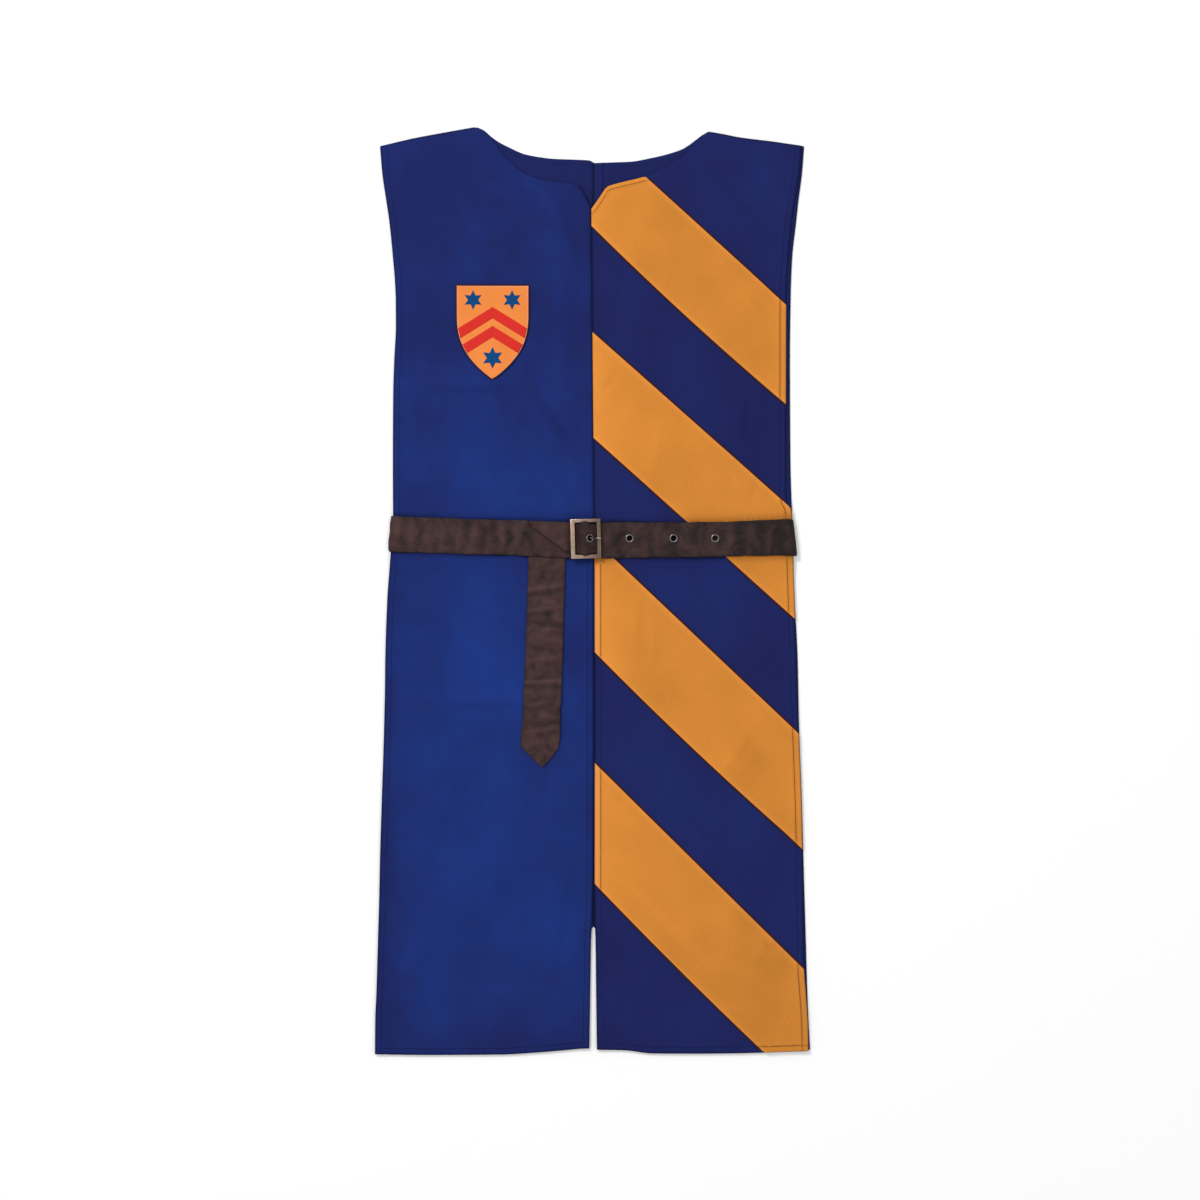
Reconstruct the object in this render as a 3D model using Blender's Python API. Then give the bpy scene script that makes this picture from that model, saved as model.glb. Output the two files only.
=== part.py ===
# Medieval surcoat with its belt, laid flat on its back.
# Named sizes are in millimetres and MM turns them into metres.
# +Y runs up to the neck, +X to the right as seen from above, and z = 0 is the surface it lies on.
# Left and right are as seen from above.

import math
from collections import namedtuple

import bmesh
import bpy
from mathutils import Matrix, Vector
from mathutils.bvhtree import BVHTree

MM = 0.001

# Cloth, belt and the clearance that sewn or stacked layers keep
CLOTH = 1.2
STRIPE = 1.0
STRAP = 1.2
GAP = 0.3

# Body of the coat
HALF_WIDTH = 217.5
HALF_LENGTH = 463.5
CHEST_Y = 370.0
SLIT_TOP_Y = -336.0
BACK_INSET = 2.0
BACK_HEM_INSET = 1.0
SEAM_HALF = GAP / 2

# The belt's back run lifts both layers of cloth over it
BELT_LOW_Y, BELT_HIGH_Y = 30.0, 76.0
BELT_RAMP = 16.0
BELT_LIFT = STRAP + GAP

# Side edges, one row per height
Side = namedtuple("Side", "y front_left front_right back_right")
SIDES = (
    Side(-HALF_LENGTH, -HALF_WIDTH, 215.5, HALF_WIDTH),
    Side(-436, -HALF_WIDTH, 214, 215.8),
    Side(-404, -217.3, 211, 213.8),
    Side(-350, -216, 210, 212.5),
    Side(-270, -214, 208.5, 210.3),
    Side(-210, -212, 207.5, 209),
    Side(-130, -209.5, 203.5, 205.2),
    Side(-70, -208, 201.8, 204),
    Side(-10, -206, 200.6, 202),
    Side(30, -203, 199, 200.6),
    Side(70, -201, 197.5, 199.5),
    Side(92, -200, 193, 198),
    Side(130, -200, 192, 197),
    Side(230, -199, 191.5, 196.5),
    Side(290, -198, 192, 197),
    Side(330, -200, 195, 199),
    Side(370, -204, 199, 203),
    Side(390, -207, 202, 205),
    Side(418, -211, 206.5, 209),
    Side(444, -212, 209, 210),
)

# Centre seams: the front's gap widens below the belt into the slit, the back is sewn down to the slit
Seam = namedtuple("Seam", "y x half_gap")
FRONT_SEAM = (
    Seam(-HALF_LENGTH, 0.1, 3.8),
    Seam(-400, 0.2, 2.9),
    Seam(-350, 0.3, 2.2),
    Seam(SLIT_TOP_Y, 0.4, 1.5),
    Seam(-300, 0.8, 0.7),
    Seam(-160, 1.2, 0.4),
    Seam(30, 1.2, SEAM_HALF),
    Seam(155, 0.3, SEAM_HALF),
    Seam(383, -1.8, SEAM_HALF),
)
BACK_SEAM = (
    Seam(-HALF_LENGTH, 0.1, 4.6),
    Seam(-350, 0.3, 3.0),
    Seam(SLIT_TOP_Y, 0.5, SEAM_HALF),
    Seam(427, 0.5, SEAM_HALF),
)

# Lower edge of the front
Edge = namedtuple("Edge", "x y")
HEM = (
    Edge(-218, -HALF_LENGTH),
    Edge(-93, -HALF_LENGTH),
    Edge(-33, -460),
    Edge(-4, -458.5),
    Edge(4, -460),
    Edge(31, -460),
    Edge(60, -HALF_LENGTH),
    Edge(100, -HALF_LENGTH),
    Edge(207, -462.5),
    Edge(218, -460),
)

# Upper edges: shoulder seam and neckline of each panel, which also set the panel's columns
LEFT_SHOULDER = (Edge(-212, 444), Edge(-180, 451.5), Edge(-148, 458), Edge(-117, HALF_LENGTH))
RIGHT_SHOULDER = (Edge(115.5, 458), Edge(147, 452.5), Edge(178, 448.5), Edge(210, 444))
FRONT_LEFT_TOP = LEFT_SHOULDER + (
    Edge(-104, 453.5),
    Edge(-88, 433),
    Edge(-68, 416),
    Edge(-46, 409),
    Edge(-27, 407),
    Edge(-15, 406),
    Edge(-8, 395),
    Edge(-2, 383),
)
FRONT_RIGHT_TOP = (
    Edge(-1.6, 382),
    Edge(5, 391),
    Edge(14, 402),
    Edge(33, 408),
    Edge(52, 413),
    Edge(87, 432),
    Edge(104, 447),
) + RIGHT_SHOULDER
BACK_LEFT_TOP = LEFT_SHOULDER + (
    Edge(-105, 457),
    Edge(-88, 444),
    Edge(-69, 436),
    Edge(-40, 431.5),
    Edge(-0.5, 429),
)
BACK_RIGHT_TOP = (
    Edge(0.5, 427),
    Edge(38, 428),
    Edge(70, 435),
    Edge(90, 441),
    Edge(103, 450),
) + RIGHT_SHOULDER

# Heights at which the panels have a row of points
FRONT_LEVELS = (
    -436, -400, -350, SLIT_TOP_Y, -300, -250, -205, -160, -117, -75, -30,
    14, 30, 76, 92, 125, 160, 200, 240, 285, 330, CHEST_Y,
)
BACK_LEVELS = (-404, -350, SLIT_TOP_Y, -270, -130, 14, 30, 76, 92, 230, 290, 330, CHEST_Y)
FRONT_TOP_ROWS = 3
BACK_TOP_ROWS = 2

# Largest soft folds of the front: middle, direction, half length, half width and height
Fold = namedtuple("Fold", "x y angle half_length half_width height")
FOLDS = (
    Fold(-62, 178, -50, 95, 34, 2.6),
    Fold(-128, 205, 2, 90, 30, 1.5),
    Fold(-38, 345, -72, 75, 30, 2.2),
    Fold(-150, 330, 80, 105, 45, 2.0),
    Fold(-120, -120, -3, 110, 40, 1.8),
    Fold(-130, -290, 75, 150, 55, 2.4),
    Fold(-35, -260, 82, 120, 32, 1.4),
    Fold(152, 165, 88, 62, 30, 2.4),
    Fold(150, 330, -55, 85, 36, 2.2),
    Fold(60, 250, -43, 120, 40, 1.8),
    Fold(45, -60, 80, 80, 34, 1.6),
    Fold(150, -150, 60, 80, 38, 2.2),
    Fold(105, -290, -45, 130, 45, 2.0),
    Fold(175, -370, 50, 70, 34, 1.6),
)
FOLD_EDGE = 25.0

# Diagonal stripes of the right front: each one's two edges as height on the seam line and slope
Stripe = namedtuple("Stripe", "name upper_y upper_slope lower_y lower_slope")
STRIPES = (
    Stripe("stripe_1", 461.8, -0.913, 361.0, -0.926),
    Stripe("stripe_2", 257.9, -0.887, 152.2, -0.899),
    Stripe("stripe_3", 51.8, -0.948, -63.4, -0.942),
    Stripe("stripe_4", -171.0, -0.986, -294.0, -0.994),
)

# Heater shield sewn on the left front
SHIELD_X, SHIELD_TOP_Y, SHIELD_TIP_Y = -100.5, 304.0, 211.0
SHIELD_HALF = 35.5
SHIELD_STRAIGHT = 28.0
SHIELD_POWER = 2.67
SHIELD_STEPS = 7

# Belt edges, one row per place along the front
BeltEdge = namedtuple("BeltEdge", "x low high")
BELT_EDGES = (
    BeltEdge(-205, 36.5, 72.5),
    BeltEdge(-185, 36.5, 71),
    BeltEdge(-65, 34, 68.5),
    BeltEdge(-25, 32, 67.2),
    BeltEdge(9, 31, 67),
    BeltEdge(97, 32, 68),
    BeltEdge(201, 34, 70.5),
)
BACK_RUN_HALF = 190.0
LEFT_TURN_X, RIGHT_TURN_X = -202.2, 200.5

# Heights of the layers at the belt, to the middle of each strap
CLOTH_TOP = 2 * CLOTH + GAP
CLOTH_TOP_AT_BELT = BELT_LIFT + CLOTH_TOP
LAYER = STRAP + GAP
ON_FLOOR = STRAP / 2
ON_CLOTH = CLOTH_TOP_AT_BELT + GAP + STRAP / 2
ON_TAIL = ON_CLOTH + LAYER
ON_BELT = ON_TAIL + LAYER
ON_KNOT = ON_BELT + LAYER
ON_STRIPE = ON_CLOTH + STRIPE + GAP

# Buckle: outer size, bars, height of its underside and its lean
BUCKLE_X, BUCKLE_Y = -7.25, 51.2
BUCKLE_HALF_WIDTH, BUCKLE_HALF_HEIGHT = 15.5, 20.0
BUCKLE_LEFT_BAR, BUCKLE_RIGHT_BAR = 4.8, 4.3
BUCKLE_TOP_BAR, BUCKLE_BOTTOM_BAR = 3.8, 4.2
BUCKLE_UNDER = ON_BELT + STRAP / 2 + GAP
BUCKLE_THICK = 2.2
BUCKLE_CHAMFER = 0.8
BUCKLE_LEAN = math.radians(1.5)
BAR_RADIUS = 0.85
BAR_Z = BUCKLE_UNDER + 0.95
BAR_SUNK = 1.5
PRONG_RADIUS = 0.75
LEAN_REACH, LEAN_EASE = 34.0, 14.0

# The straps narrow between the buckle's bars and bulge over them at the centre bar
IN_BUCKLE_LEFT_X, IN_BUCKLE_RIGHT_X = -17.0, 4.0
STRAP_LOW_IN_BUCKLE, STRAP_HIGH_IN_BUCKLE = 36.1, 66.2
BULGE_REACH = 3.0
STRAP_LOW_OVER_BAR, STRAP_HIGH_OVER_BAR = 34.6, 68.0
SLOT_HALF = PRONG_RADIUS + 0.95

# Holes along the strap, 42 mm apart, each with a metal eyelet
EYELET_Y = 51.7
EYELET_XS = (122.0, 80.5, 36.5)
BUCKLED_EYELET_X = -3.5
HOLE_RADIUS = 2.8
EYELET_BARREL, EYELET_BORE, EYELET_FLANGE = 2.5, 2.2, 4.5
BUCKLED_SLOPE = math.radians(33)

# Knot: the strap turns back along a slanting fold and its end hangs below the belt
FOLD_LEFT_X, FOLD_LEFT_Y = -62.0, 66.0
FOLD_RIGHT_X, FOLD_RIGHT_Y = -26.0, 39.0
KNOT_LEFT_X = -64.4
KNOT_TOP_Y = 66.9
KNOT_INSET = 1.4
TAIL_RAMP_Y = 14.0

# Hanging end: middle and half width by height
Tail = namedtuple("Tail", "y middle half")
TAIL = (
    Tail(68.9, -45.8, 18.0),
    Tail(30, -46.3, 18.0),
    Tail(14, -46.9, 18.2),
    Tail(-30, -48.2, 18.4),
    Tail(-75, -49.0, 18.4),
    Tail(-117, -50.2, 18.5),
    Tail(-157, -51.8, 18.5),
    Tail(-164, -51.6, 14.6),
    Tail(-170, -51.3, 9.0),
    Tail(-176.5, -51.0, 1.5),
)

# Middle lines of the straps over the front, as x and height
Route = namedtuple("Route", "x z")
BUCKLE_END_OVER = (
    Route(-150, ON_CLOTH),
    Route(-112, ON_CLOTH),
    Route(-74, ON_CLOTH),
    Route(-67, ON_TAIL),
    Route(KNOT_LEFT_X, ON_TAIL),
    Route(FOLD_RIGHT_X, ON_TAIL),
    Route(-18, ON_TAIL),
    Route(-15.4, ON_TAIL + 0.15),
    Route(-13.2, ON_TAIL + 0.6),
    Route(-11.4, ON_TAIL + 1.75),
)
BUCKLE_END_BACK = (
    Route(-9.4, ON_CLOTH + 2.3),
    Route(-12.0, ON_CLOTH + 0.9),
    Route(-15.0, ON_CLOTH + 0.15),
    Route(-18.0, ON_CLOTH),
    Route(-25.3, ON_CLOTH),
)
SLOT_POINTS_BACK = 2
HOLE_END_UP = (
    Route(31, ON_CLOTH),
    Route(25, ON_STRIPE),
    Route(13, ON_STRIPE + 0.4),
    Route(6, ON_STRIPE + 1.0),
    Route(2.2, ON_STRIPE + 2.0),
)
HOLE_END_CREST = Route(-5.8, BAR_Z + 3.65)
HOLE_END_DOWN = (
    Route(BUCKLE_X, BAR_Z + 4.15),
    Route(-9.3, BAR_Z + 3.75),
    Route(-11.6, BAR_Z + 2.4),
    Route(-14.9, ON_BELT + 1.3),
    Route(-16.8, ON_BELT),
    Route(-23.3, ON_BELT),
)
HOLE_END_KNOT = (
    Route(-27.2, ON_KNOT),
    Route(-40, ON_KNOT),
    Route(-50, ON_KNOT),
    Route(FOLD_LEFT_X, ON_KNOT),
)
PRONG_OVER = (
    Route(-5.1, 11.0),
    Route(-4.6, 12.3),
    Route(-3.4, 13.6),
    Route(-1.6, 14.5),
    Route(1.2, 14.4),
    Route(4.6, 13.2),
    Route(8.2, 12.25),
)

# Colours, roughness and metallic value
Finish = namedtuple("Finish", "color roughness metallic")
BLUE = Finish((0.016, 0.026, 0.145, 1), 0.85, 0)
YELLOW = Finish((0.66, 0.24, 0.035, 1), 0.8, 0)
ORANGE = Finish((0.85, 0.26, 0.06, 1), 0.7, 0)
BROWN = Finish((0.055, 0.032, 0.028, 1), 0.55, 0)
BRASS = Finish((0.36, 0.25, 0.18, 1), 0.35, 1)
STEEL = Finish((0.45, 0.45, 0.46, 1), 0.3, 1)


def clear_scene():
    for old in list(bpy.data.objects):
        bpy.data.objects.remove(old)


def blend(start, end, share):
    return start + (end - start) * share


def ease(share):
    share = min(max(share, 0.0), 1.0)
    return share * share * (3 - 2 * share)


def read(table, key, column, place):
    """Value of a table's column at a place between its rows."""
    rows = sorted(table, key=lambda row: getattr(row, key))
    if place <= getattr(rows[0], key):
        return getattr(rows[0], column)
    for low, high in zip(rows, rows[1:]):
        start, end = getattr(low, key), getattr(high, key)
        if place <= end:
            return blend(getattr(low, column), getattr(high, column), (place - start) / (end - start))
    return getattr(rows[-1], column)


def link_piece(name, data, finish):
    piece = bpy.data.objects.new(name, data)
    bpy.context.scene.collection.objects.link(piece)
    material = bpy.data.materials.new(name)
    material.use_nodes = True
    shader = material.node_tree.nodes["Principled BSDF"]
    shader.inputs["Base Color"].default_value = finish.color
    shader.inputs["Roughness"].default_value = finish.roughness
    shader.inputs["Metallic"].default_value = finish.metallic
    data.materials.append(material)
    return piece


def add_object(name, shape, finish, smooth=False):
    mesh = bpy.data.meshes.new(name)
    bmesh.ops.recalc_face_normals(shape, faces=shape.faces)
    shape.to_mesh(mesh)
    shape.free()
    mesh.transform(Matrix.Scale(MM, 4))
    if smooth:
        mesh.shade_smooth()
        mesh.set_sharp_from_angle(angle=math.radians(40))
    return link_piece(name, mesh, finish)


def wall(under, over, missing=()):
    """Closed shape between two grids of points, with the missing cells left open."""
    shape = bmesh.new()
    low = [[shape.verts.new(point) for point in row] for row in under]
    high = [[shape.verts.new(point) for point in row] for row in over]
    row_count, column_count = len(under) - 1, len(under[0]) - 1

    def is_kept(i, j):
        return 0 <= i < row_count and 0 <= j < column_count and (i, j) not in missing

    for i in range(row_count):
        for j in range(column_count):
            if not is_kept(i, j):
                continue
            corners = ((i, j), (i, j + 1), (i + 1, j + 1), (i + 1, j))
            for grid in (low, high):
                a, b, c, d = (grid[p][q] for p, q in corners)
                shape.faces.new((a, b, c))
                shape.faces.new((a, c, d))
            across = ((i - 1, j), (i, j + 1), (i + 1, j), (i, j - 1))
            for k, beside in enumerate(across):
                if is_kept(*beside):
                    continue
                (p, q), (r, s) = corners[k], corners[(k + 1) % 4]
                shape.faces.new((low[p][q], low[r][s], high[r][s], high[p][q]))
    loose = [vert for vert in shape.verts if not vert.link_faces]
    bmesh.ops.delete(shape, geom=loose, context="VERTS")
    return shape


def belt_lift(y):
    """How far the back run of the belt lifts the cloth at this height."""
    if BELT_LOW_Y <= y <= BELT_HIGH_Y:
        return BELT_LIFT
    away = BELT_LOW_Y - y if y < BELT_LOW_Y else y - BELT_HIGH_Y
    return BELT_LIFT * max(0.0, 1 - away / BELT_RAMP)


def fold_height(x, y):
    """Soft folds of the front, which the belt presses flat."""
    total = 0.0
    for fold in FOLDS:
        turn = math.radians(fold.angle)
        dx, dy = x - fold.x, y - fold.y
        along = abs(dx * math.cos(turn) + dy * math.sin(turn)) / fold.half_length
        beside = abs(dy * math.cos(turn) - dx * math.sin(turn)) / fold.half_width
        total += fold.height * ease(1 - along) * ease(1 - beside)
    away = max(BELT_LOW_Y - y, y - BELT_HIGH_Y) - BELT_RAMP
    return total * ease(away / BELT_RAMP)


def front_under(x, y):
    edge = min(abs(x - read(SIDES, "y", "front_left", y)), abs(read(SIDES, "y", "front_right", y) - x))
    return CLOTH + GAP + belt_lift(y) + fold_height(x, y) * ease(edge / FOLD_EDGE)


def panel_points(side, centre, top, bottom, levels, top_rows):
    """Rows of x, y from the lower edge up, with a column for each point of the upper edge."""
    first, last = top[0].x, top[-1].x
    shares = [(edge.x - first) / (last - first) for edge in top]
    start, end = (side, centre) if first < -HALF_WIDTH / 2 else (centre, side)

    def across(y, share):
        return blend(start(y), end(y), share)

    rows = []
    low_row = []
    for share in shares:
        y = bottom(across(-HALF_LENGTH, share))
        low_row.append((across(y, share), y))
    rows.append(low_row)
    for y in levels:
        rows.append([(across(y, share), y) for share in shares])
    for step in range(1, top_rows + 1):
        row = []
        for share, edge in zip(shares, top):
            y = blend(CHEST_Y, edge.y, step / top_rows)
            row.append((blend(across(y, share), edge.x, step / top_rows), y))
        rows.append(row)
    return rows


def raised(points, height):
    return [[Vector((x, y, height(x, y))) for x, y in row] for row in points]


def lifted(grid, rise):
    return [[point + Vector((0, 0, rise)) for point in row] for row in grid]


def seam_edge(table, y, side):
    """Edge of a panel at the centre; side is -1 for a left panel and 1 for a right one."""
    return read(table, "y", "x", y) + side * read(table, "y", "half_gap", y)


def hem_y(x):
    return read(HEM, "x", "y", x)


def front_grid(is_left):
    if is_left:
        points = panel_points(
            lambda y: read(SIDES, "y", "front_left", y),
            lambda y: seam_edge(FRONT_SEAM, y, -1),
            FRONT_LEFT_TOP, hem_y, FRONT_LEVELS, FRONT_TOP_ROWS,
        )
    else:
        points = panel_points(
            lambda y: read(SIDES, "y", "front_right", y),
            lambda y: seam_edge(FRONT_SEAM, y, 1),
            FRONT_RIGHT_TOP, hem_y, FRONT_LEVELS, FRONT_TOP_ROWS,
        )
    return raised(points, front_under)


def make_front(name, grid):
    add_object(name, wall(grid, lifted(grid, CLOTH)), BLUE)


def make_back(name, is_left):
    if is_left:
        points = panel_points(
            lambda y: read(SIDES, "y", "front_left", y) + BACK_INSET,
            lambda y: seam_edge(BACK_SEAM, y, -1),
            BACK_LEFT_TOP, lambda x: hem_y(x) + BACK_HEM_INSET, BACK_LEVELS, BACK_TOP_ROWS,
        )
    else:
        points = panel_points(
            lambda y: read(SIDES, "y", "back_right", y),
            lambda y: seam_edge(BACK_SEAM, y, 1),
            BACK_RIGHT_TOP, lambda x: hem_y(x) + BACK_HEM_INSET, BACK_LEVELS, BACK_TOP_ROWS,
        )
    grid = raised(points, lambda x, y: belt_lift(y))
    add_object(name, wall(grid, lifted(grid, CLOTH)), BLUE)


def surface_of(grid):
    """Open surface with the same triangles as a wall over this grid."""
    shape = bmesh.new()
    points = [[shape.verts.new(point) for point in row] for row in grid]
    for lower, upper in zip(points, points[1:]):
        for j in range(len(lower) - 1):
            shape.faces.new((lower[j], lower[j + 1], upper[j + 1]))
            shape.faces.new((lower[j], upper[j + 1], upper[j]))
    return shape


def keep_side(shape, point, outward):
    """Cut the surface along an upright plane and drop what lies outside it."""
    bmesh.ops.bisect_plane(
        shape,
        geom=shape.verts[:] + shape.edges[:] + shape.faces[:],
        dist=1e-5,
        plane_co=point,
        plane_no=outward,
        clear_outer=True,
    )


def thicken_up(shape, thickness):
    grown = bmesh.ops.extrude_face_region(shape, geom=shape.faces[:], use_keep_orig=True)
    risen = [item for item in grown["geom"] if isinstance(item, bmesh.types.BMVert)]
    bmesh.ops.translate(shape, verts=risen, vec=(0, 0, thickness))


def make_stripes(grid):
    for stripe in STRIPES:
        shape = surface_of(lifted(grid, CLOTH + GAP))
        keep_side(shape, (0, stripe.upper_y, 0), (-stripe.upper_slope, 1, 0))
        keep_side(shape, (0, stripe.lower_y, 0), (stripe.lower_slope, -1, 0))
        thicken_up(shape, STRIPE)
        add_object(stripe.name, shape, YELLOW)


def shield_outline():
    """Corners of the shield, round from its top left."""
    half = []
    curve_length = SHIELD_TOP_Y - SHIELD_STRAIGHT - SHIELD_TIP_Y
    for step in range(SHIELD_STEPS + 1):
        share = step / SHIELD_STEPS
        width = SHIELD_HALF * (1 - share**SHIELD_POWER)
        half.append((width, SHIELD_TOP_Y - SHIELD_STRAIGHT - curve_length * share))
    left = [(SHIELD_X - width, y) for width, y in half]
    right = [(SHIELD_X + width, y) for width, y in reversed(half[:-1])]
    return (
        [(SHIELD_X - SHIELD_HALF, SHIELD_TOP_Y)] + left + right + [(SHIELD_X + SHIELD_HALF, SHIELD_TOP_Y)]
    )


def make_shield(grid):
    shape = surface_of(lifted(grid, CLOTH + GAP))
    outline = shield_outline()
    for (x, y), (next_x, next_y) in zip(outline, outline[1:] + outline[:1]):
        keep_side(shape, (x, y, 0), (next_y - y, x - next_x, 0))
    thicken_up(shape, STRIPE)
    add_object("shield_patch", shape, ORANGE)


def arc(centre_x, centre_z, radius, start, end, steps):
    """Points of an arc in the upright plane along the belt, angles in degrees."""
    points = []
    for step in range(steps + 1):
        turn = math.radians(blend(start, end, step / steps))
        points.append((centre_x + radius * math.cos(turn), centre_z + radius * math.sin(turn)))
    return points


def lean(x, y):
    """The buckle leans, and the straps in it lean with it."""
    near = ease((LEAN_REACH - abs(x - BUCKLE_X)) / LEAN_EASE)
    return -(y - BUCKLE_Y) * math.tan(BUCKLE_LEAN) * near


def side_normals(path):
    """Unit normals of a path of two-number points, each turned left of its direction."""
    normals = []
    for k in range(len(path)):
        before, after = path[max(k - 1, 0)], path[min(k + 1, len(path) - 1)]
        along = Vector(after) - Vector(before)
        normals.append(Vector((-along[1], along[0])).normalized())
    return normals


def strap_grids(path, columns_at):
    """Lower and upper grids of a strap that follows x, z points, with columns at given y."""
    under, over = [], []
    for k, ((x, z), normal) in enumerate(zip(path, side_normals(path))):
        columns = columns_at(k, x)
        offset = normal * STRAP / 2
        under.append([Vector((x - offset[0] + lean(x, y), y, z - offset[1])) for y in columns])
        over.append([Vector((x + offset[0] + lean(x, y), y, z + offset[1])) for y in columns])
    return under, over


def belt_low(x):
    return read(BELT_EDGES, "x", "low", x)


def belt_high(x):
    return read(BELT_EDGES, "x", "high", x)


def make_belt_back():
    """The run under the back, flat on the surface below."""
    path = [(-BACK_RUN_HALF + GAP, ON_FLOOR), (BACK_RUN_HALF - GAP, ON_FLOOR)]
    under, over = strap_grids(path, lambda k, x: (belt_low(x), belt_high(x)))
    add_object("belt_back", wall(under, over), BROWN)


def make_belt_buckle_end():
    """The end that holds the buckle: round the left side, over the front and about the centre bar."""
    turn = (ON_CLOTH - ON_FLOOR) / 2
    round_side = arc(LEFT_TURN_X, ON_FLOOR + turn, turn, 270, 90, 8)
    path = [(-BACK_RUN_HALF, ON_FLOOR), *round_side, *BUCKLE_END_OVER]
    slot_start = len(path) - 1
    path += arc(BUCKLE_X, BAR_Z, BAR_RADIUS + GAP + STRAP / 2, 135, -90, 8)
    slot_end = len(path) + SLOT_POINTS_BACK - 1
    path += BUCKLE_END_BACK

    def columns(k, x):
        low, high = belt_low(x), belt_high(x)
        if x >= KNOT_LEFT_X:
            high = min(high, KNOT_TOP_Y)
            near = ease((x - FOLD_RIGHT_X) / (IN_BUCKLE_LEFT_X - FOLD_RIGHT_X))
            low, high = blend(low, STRAP_LOW_IN_BUCKLE, near), blend(high, STRAP_HIGH_IN_BUCKLE, near)
        return low, BUCKLE_Y - SLOT_HALF, BUCKLE_Y + SLOT_HALF, high

    under, over = strap_grids(path, columns)
    slot = {(k, 1) for k in range(slot_start, slot_end)}
    add_object("belt_buckle_end", wall(under, over, slot), BROWN)


def hole_end_path():
    """Middle line of the strap with the holes, and where the middle of each hole falls on it."""
    turn = (ON_STRIPE - ON_FLOOR) / 2
    path = [(BACK_RUN_HALF, ON_FLOOR)] + arc(RIGHT_TURN_X, ON_FLOOR + turn, turn, -90, 90, 8)
    path += [(160, ON_STRIPE)]
    holes = []

    def add_hole(x, z, slope=0.0):
        step_x, step_z = HOLE_RADIUS * math.cos(slope), -HOLE_RADIUS * math.sin(slope)
        holes.append(len(path) + 1)
        path.extend(((x + step_x, z + step_z), (x, z), (x - step_x, z - step_z)))

    add_hole(EYELET_XS[0], ON_STRIPE)
    path += [(94, ON_STRIPE), (87, ON_CLOTH)]
    add_hole(EYELET_XS[1], ON_CLOTH)
    path += [(58, ON_CLOTH)]
    add_hole(EYELET_XS[2], ON_CLOTH)
    path += HOLE_END_UP
    rise = (HOLE_END_CREST.x - BUCKLED_EYELET_X) * math.tan(BUCKLED_SLOPE)
    add_hole(BUCKLED_EYELET_X, HOLE_END_CREST.z + rise, BUCKLED_SLOPE)
    path += HOLE_END_DOWN + HOLE_END_KNOT
    return path, holes


def fold_line_y(x):
    share = (x - FOLD_LEFT_X) / (FOLD_RIGHT_X - FOLD_LEFT_X)
    return blend(FOLD_LEFT_Y, FOLD_RIGHT_Y, share)


def make_belt_hole_end():
    """The end with the holes: round the right side, through the buckle, to the slanting fold."""
    path, holes = hole_end_path()

    def columns(k, x):
        low, high = belt_low(x), belt_high(x)
        if abs(x - BUCKLE_X) < BULGE_REACH:
            low, high = STRAP_LOW_OVER_BAR, STRAP_HIGH_OVER_BAR
        elif IN_BUCKLE_LEFT_X < x < IN_BUCKLE_RIGHT_X:
            low, high = STRAP_LOW_IN_BUCKLE, STRAP_HIGH_IN_BUCKLE
        elif x < HOLE_END_DOWN[-1].x + GAP:
            low = fold_line_y(x)
        elif x < IN_BUCKLE_LEFT_X:
            low = STRAP_LOW_IN_BUCKLE
        middle = EYELET_Y if k <= holes[-1] + 1 else (low + high) / 2
        reach = min(HOLE_RADIUS, (high - low) / 10)
        return low, middle - reach, middle, middle + reach, high

    under, over = strap_grids(path, columns)
    corner = math.sqrt(0.5)
    missing = set()
    for k in holes:
        for grid in (under, over):
            for row in (k - 1, k + 1):
                for column in (1, 3):
                    towards = grid[row][column] - grid[k][2]
                    grid[row][column] = grid[k][2] + towards * corner
        missing |= {(row, column) for row in (k - 1, k) for column in (1, 2)}
    add_object("belt_hole_end", wall(under, over, missing), BROWN)


def make_belt_tail(front_left):
    """From under the slanting fold, over the belt's top edge, down behind it and out below."""
    seat = BVHTree.FromBMesh(surface_of(lifted(front_left, CLOTH)))
    shares = (-1, 0, 1)

    def cloth_top(y, middle, half):
        highest = CLOTH_TOP
        for share in (-1, -0.5, 0, 0.5, 1):
            hit = seat.ray_cast(Vector((middle + share * half, y, 50)), Vector((0, 0, -1)))[0]
            if hit:
                highest = max(highest, hit.z)
        return highest

    turn = (ON_BELT - ON_CLOTH) / 2
    path = [(KNOT_TOP_Y - KNOT_INSET, ON_BELT), (KNOT_TOP_Y - KNOT_INSET / 2, ON_BELT)]
    path += arc(KNOT_TOP_Y, ON_CLOTH + turn, turn, 90, -90, 6)
    path.append((BELT_LOW_Y, ON_CLOTH))
    for row in TAIL:
        if row.y <= TAIL_RAMP_Y:
            path.append((row.y, cloth_top(row.y, row.middle, row.half) + GAP + STRAP / 2))
    under, over = [], []
    for k, ((y, z), normal) in enumerate(zip(path, side_normals(path))):
        offset = normal * STRAP / 2
        middle, half = read(TAIL, "y", "middle", y), read(TAIL, "y", "half", y)
        under.append([])
        over.append([])
        for share in shares:
            x = middle + share * half
            place = min(y, fold_line_y(x) + GAP) if k == 0 else y
            under[-1].append(Vector((x, place - offset[0], z - offset[1])))
            over[-1].append(Vector((x, place + offset[0], z + offset[1])))
    add_object("belt_tail", wall(under, over), BROWN)


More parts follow.
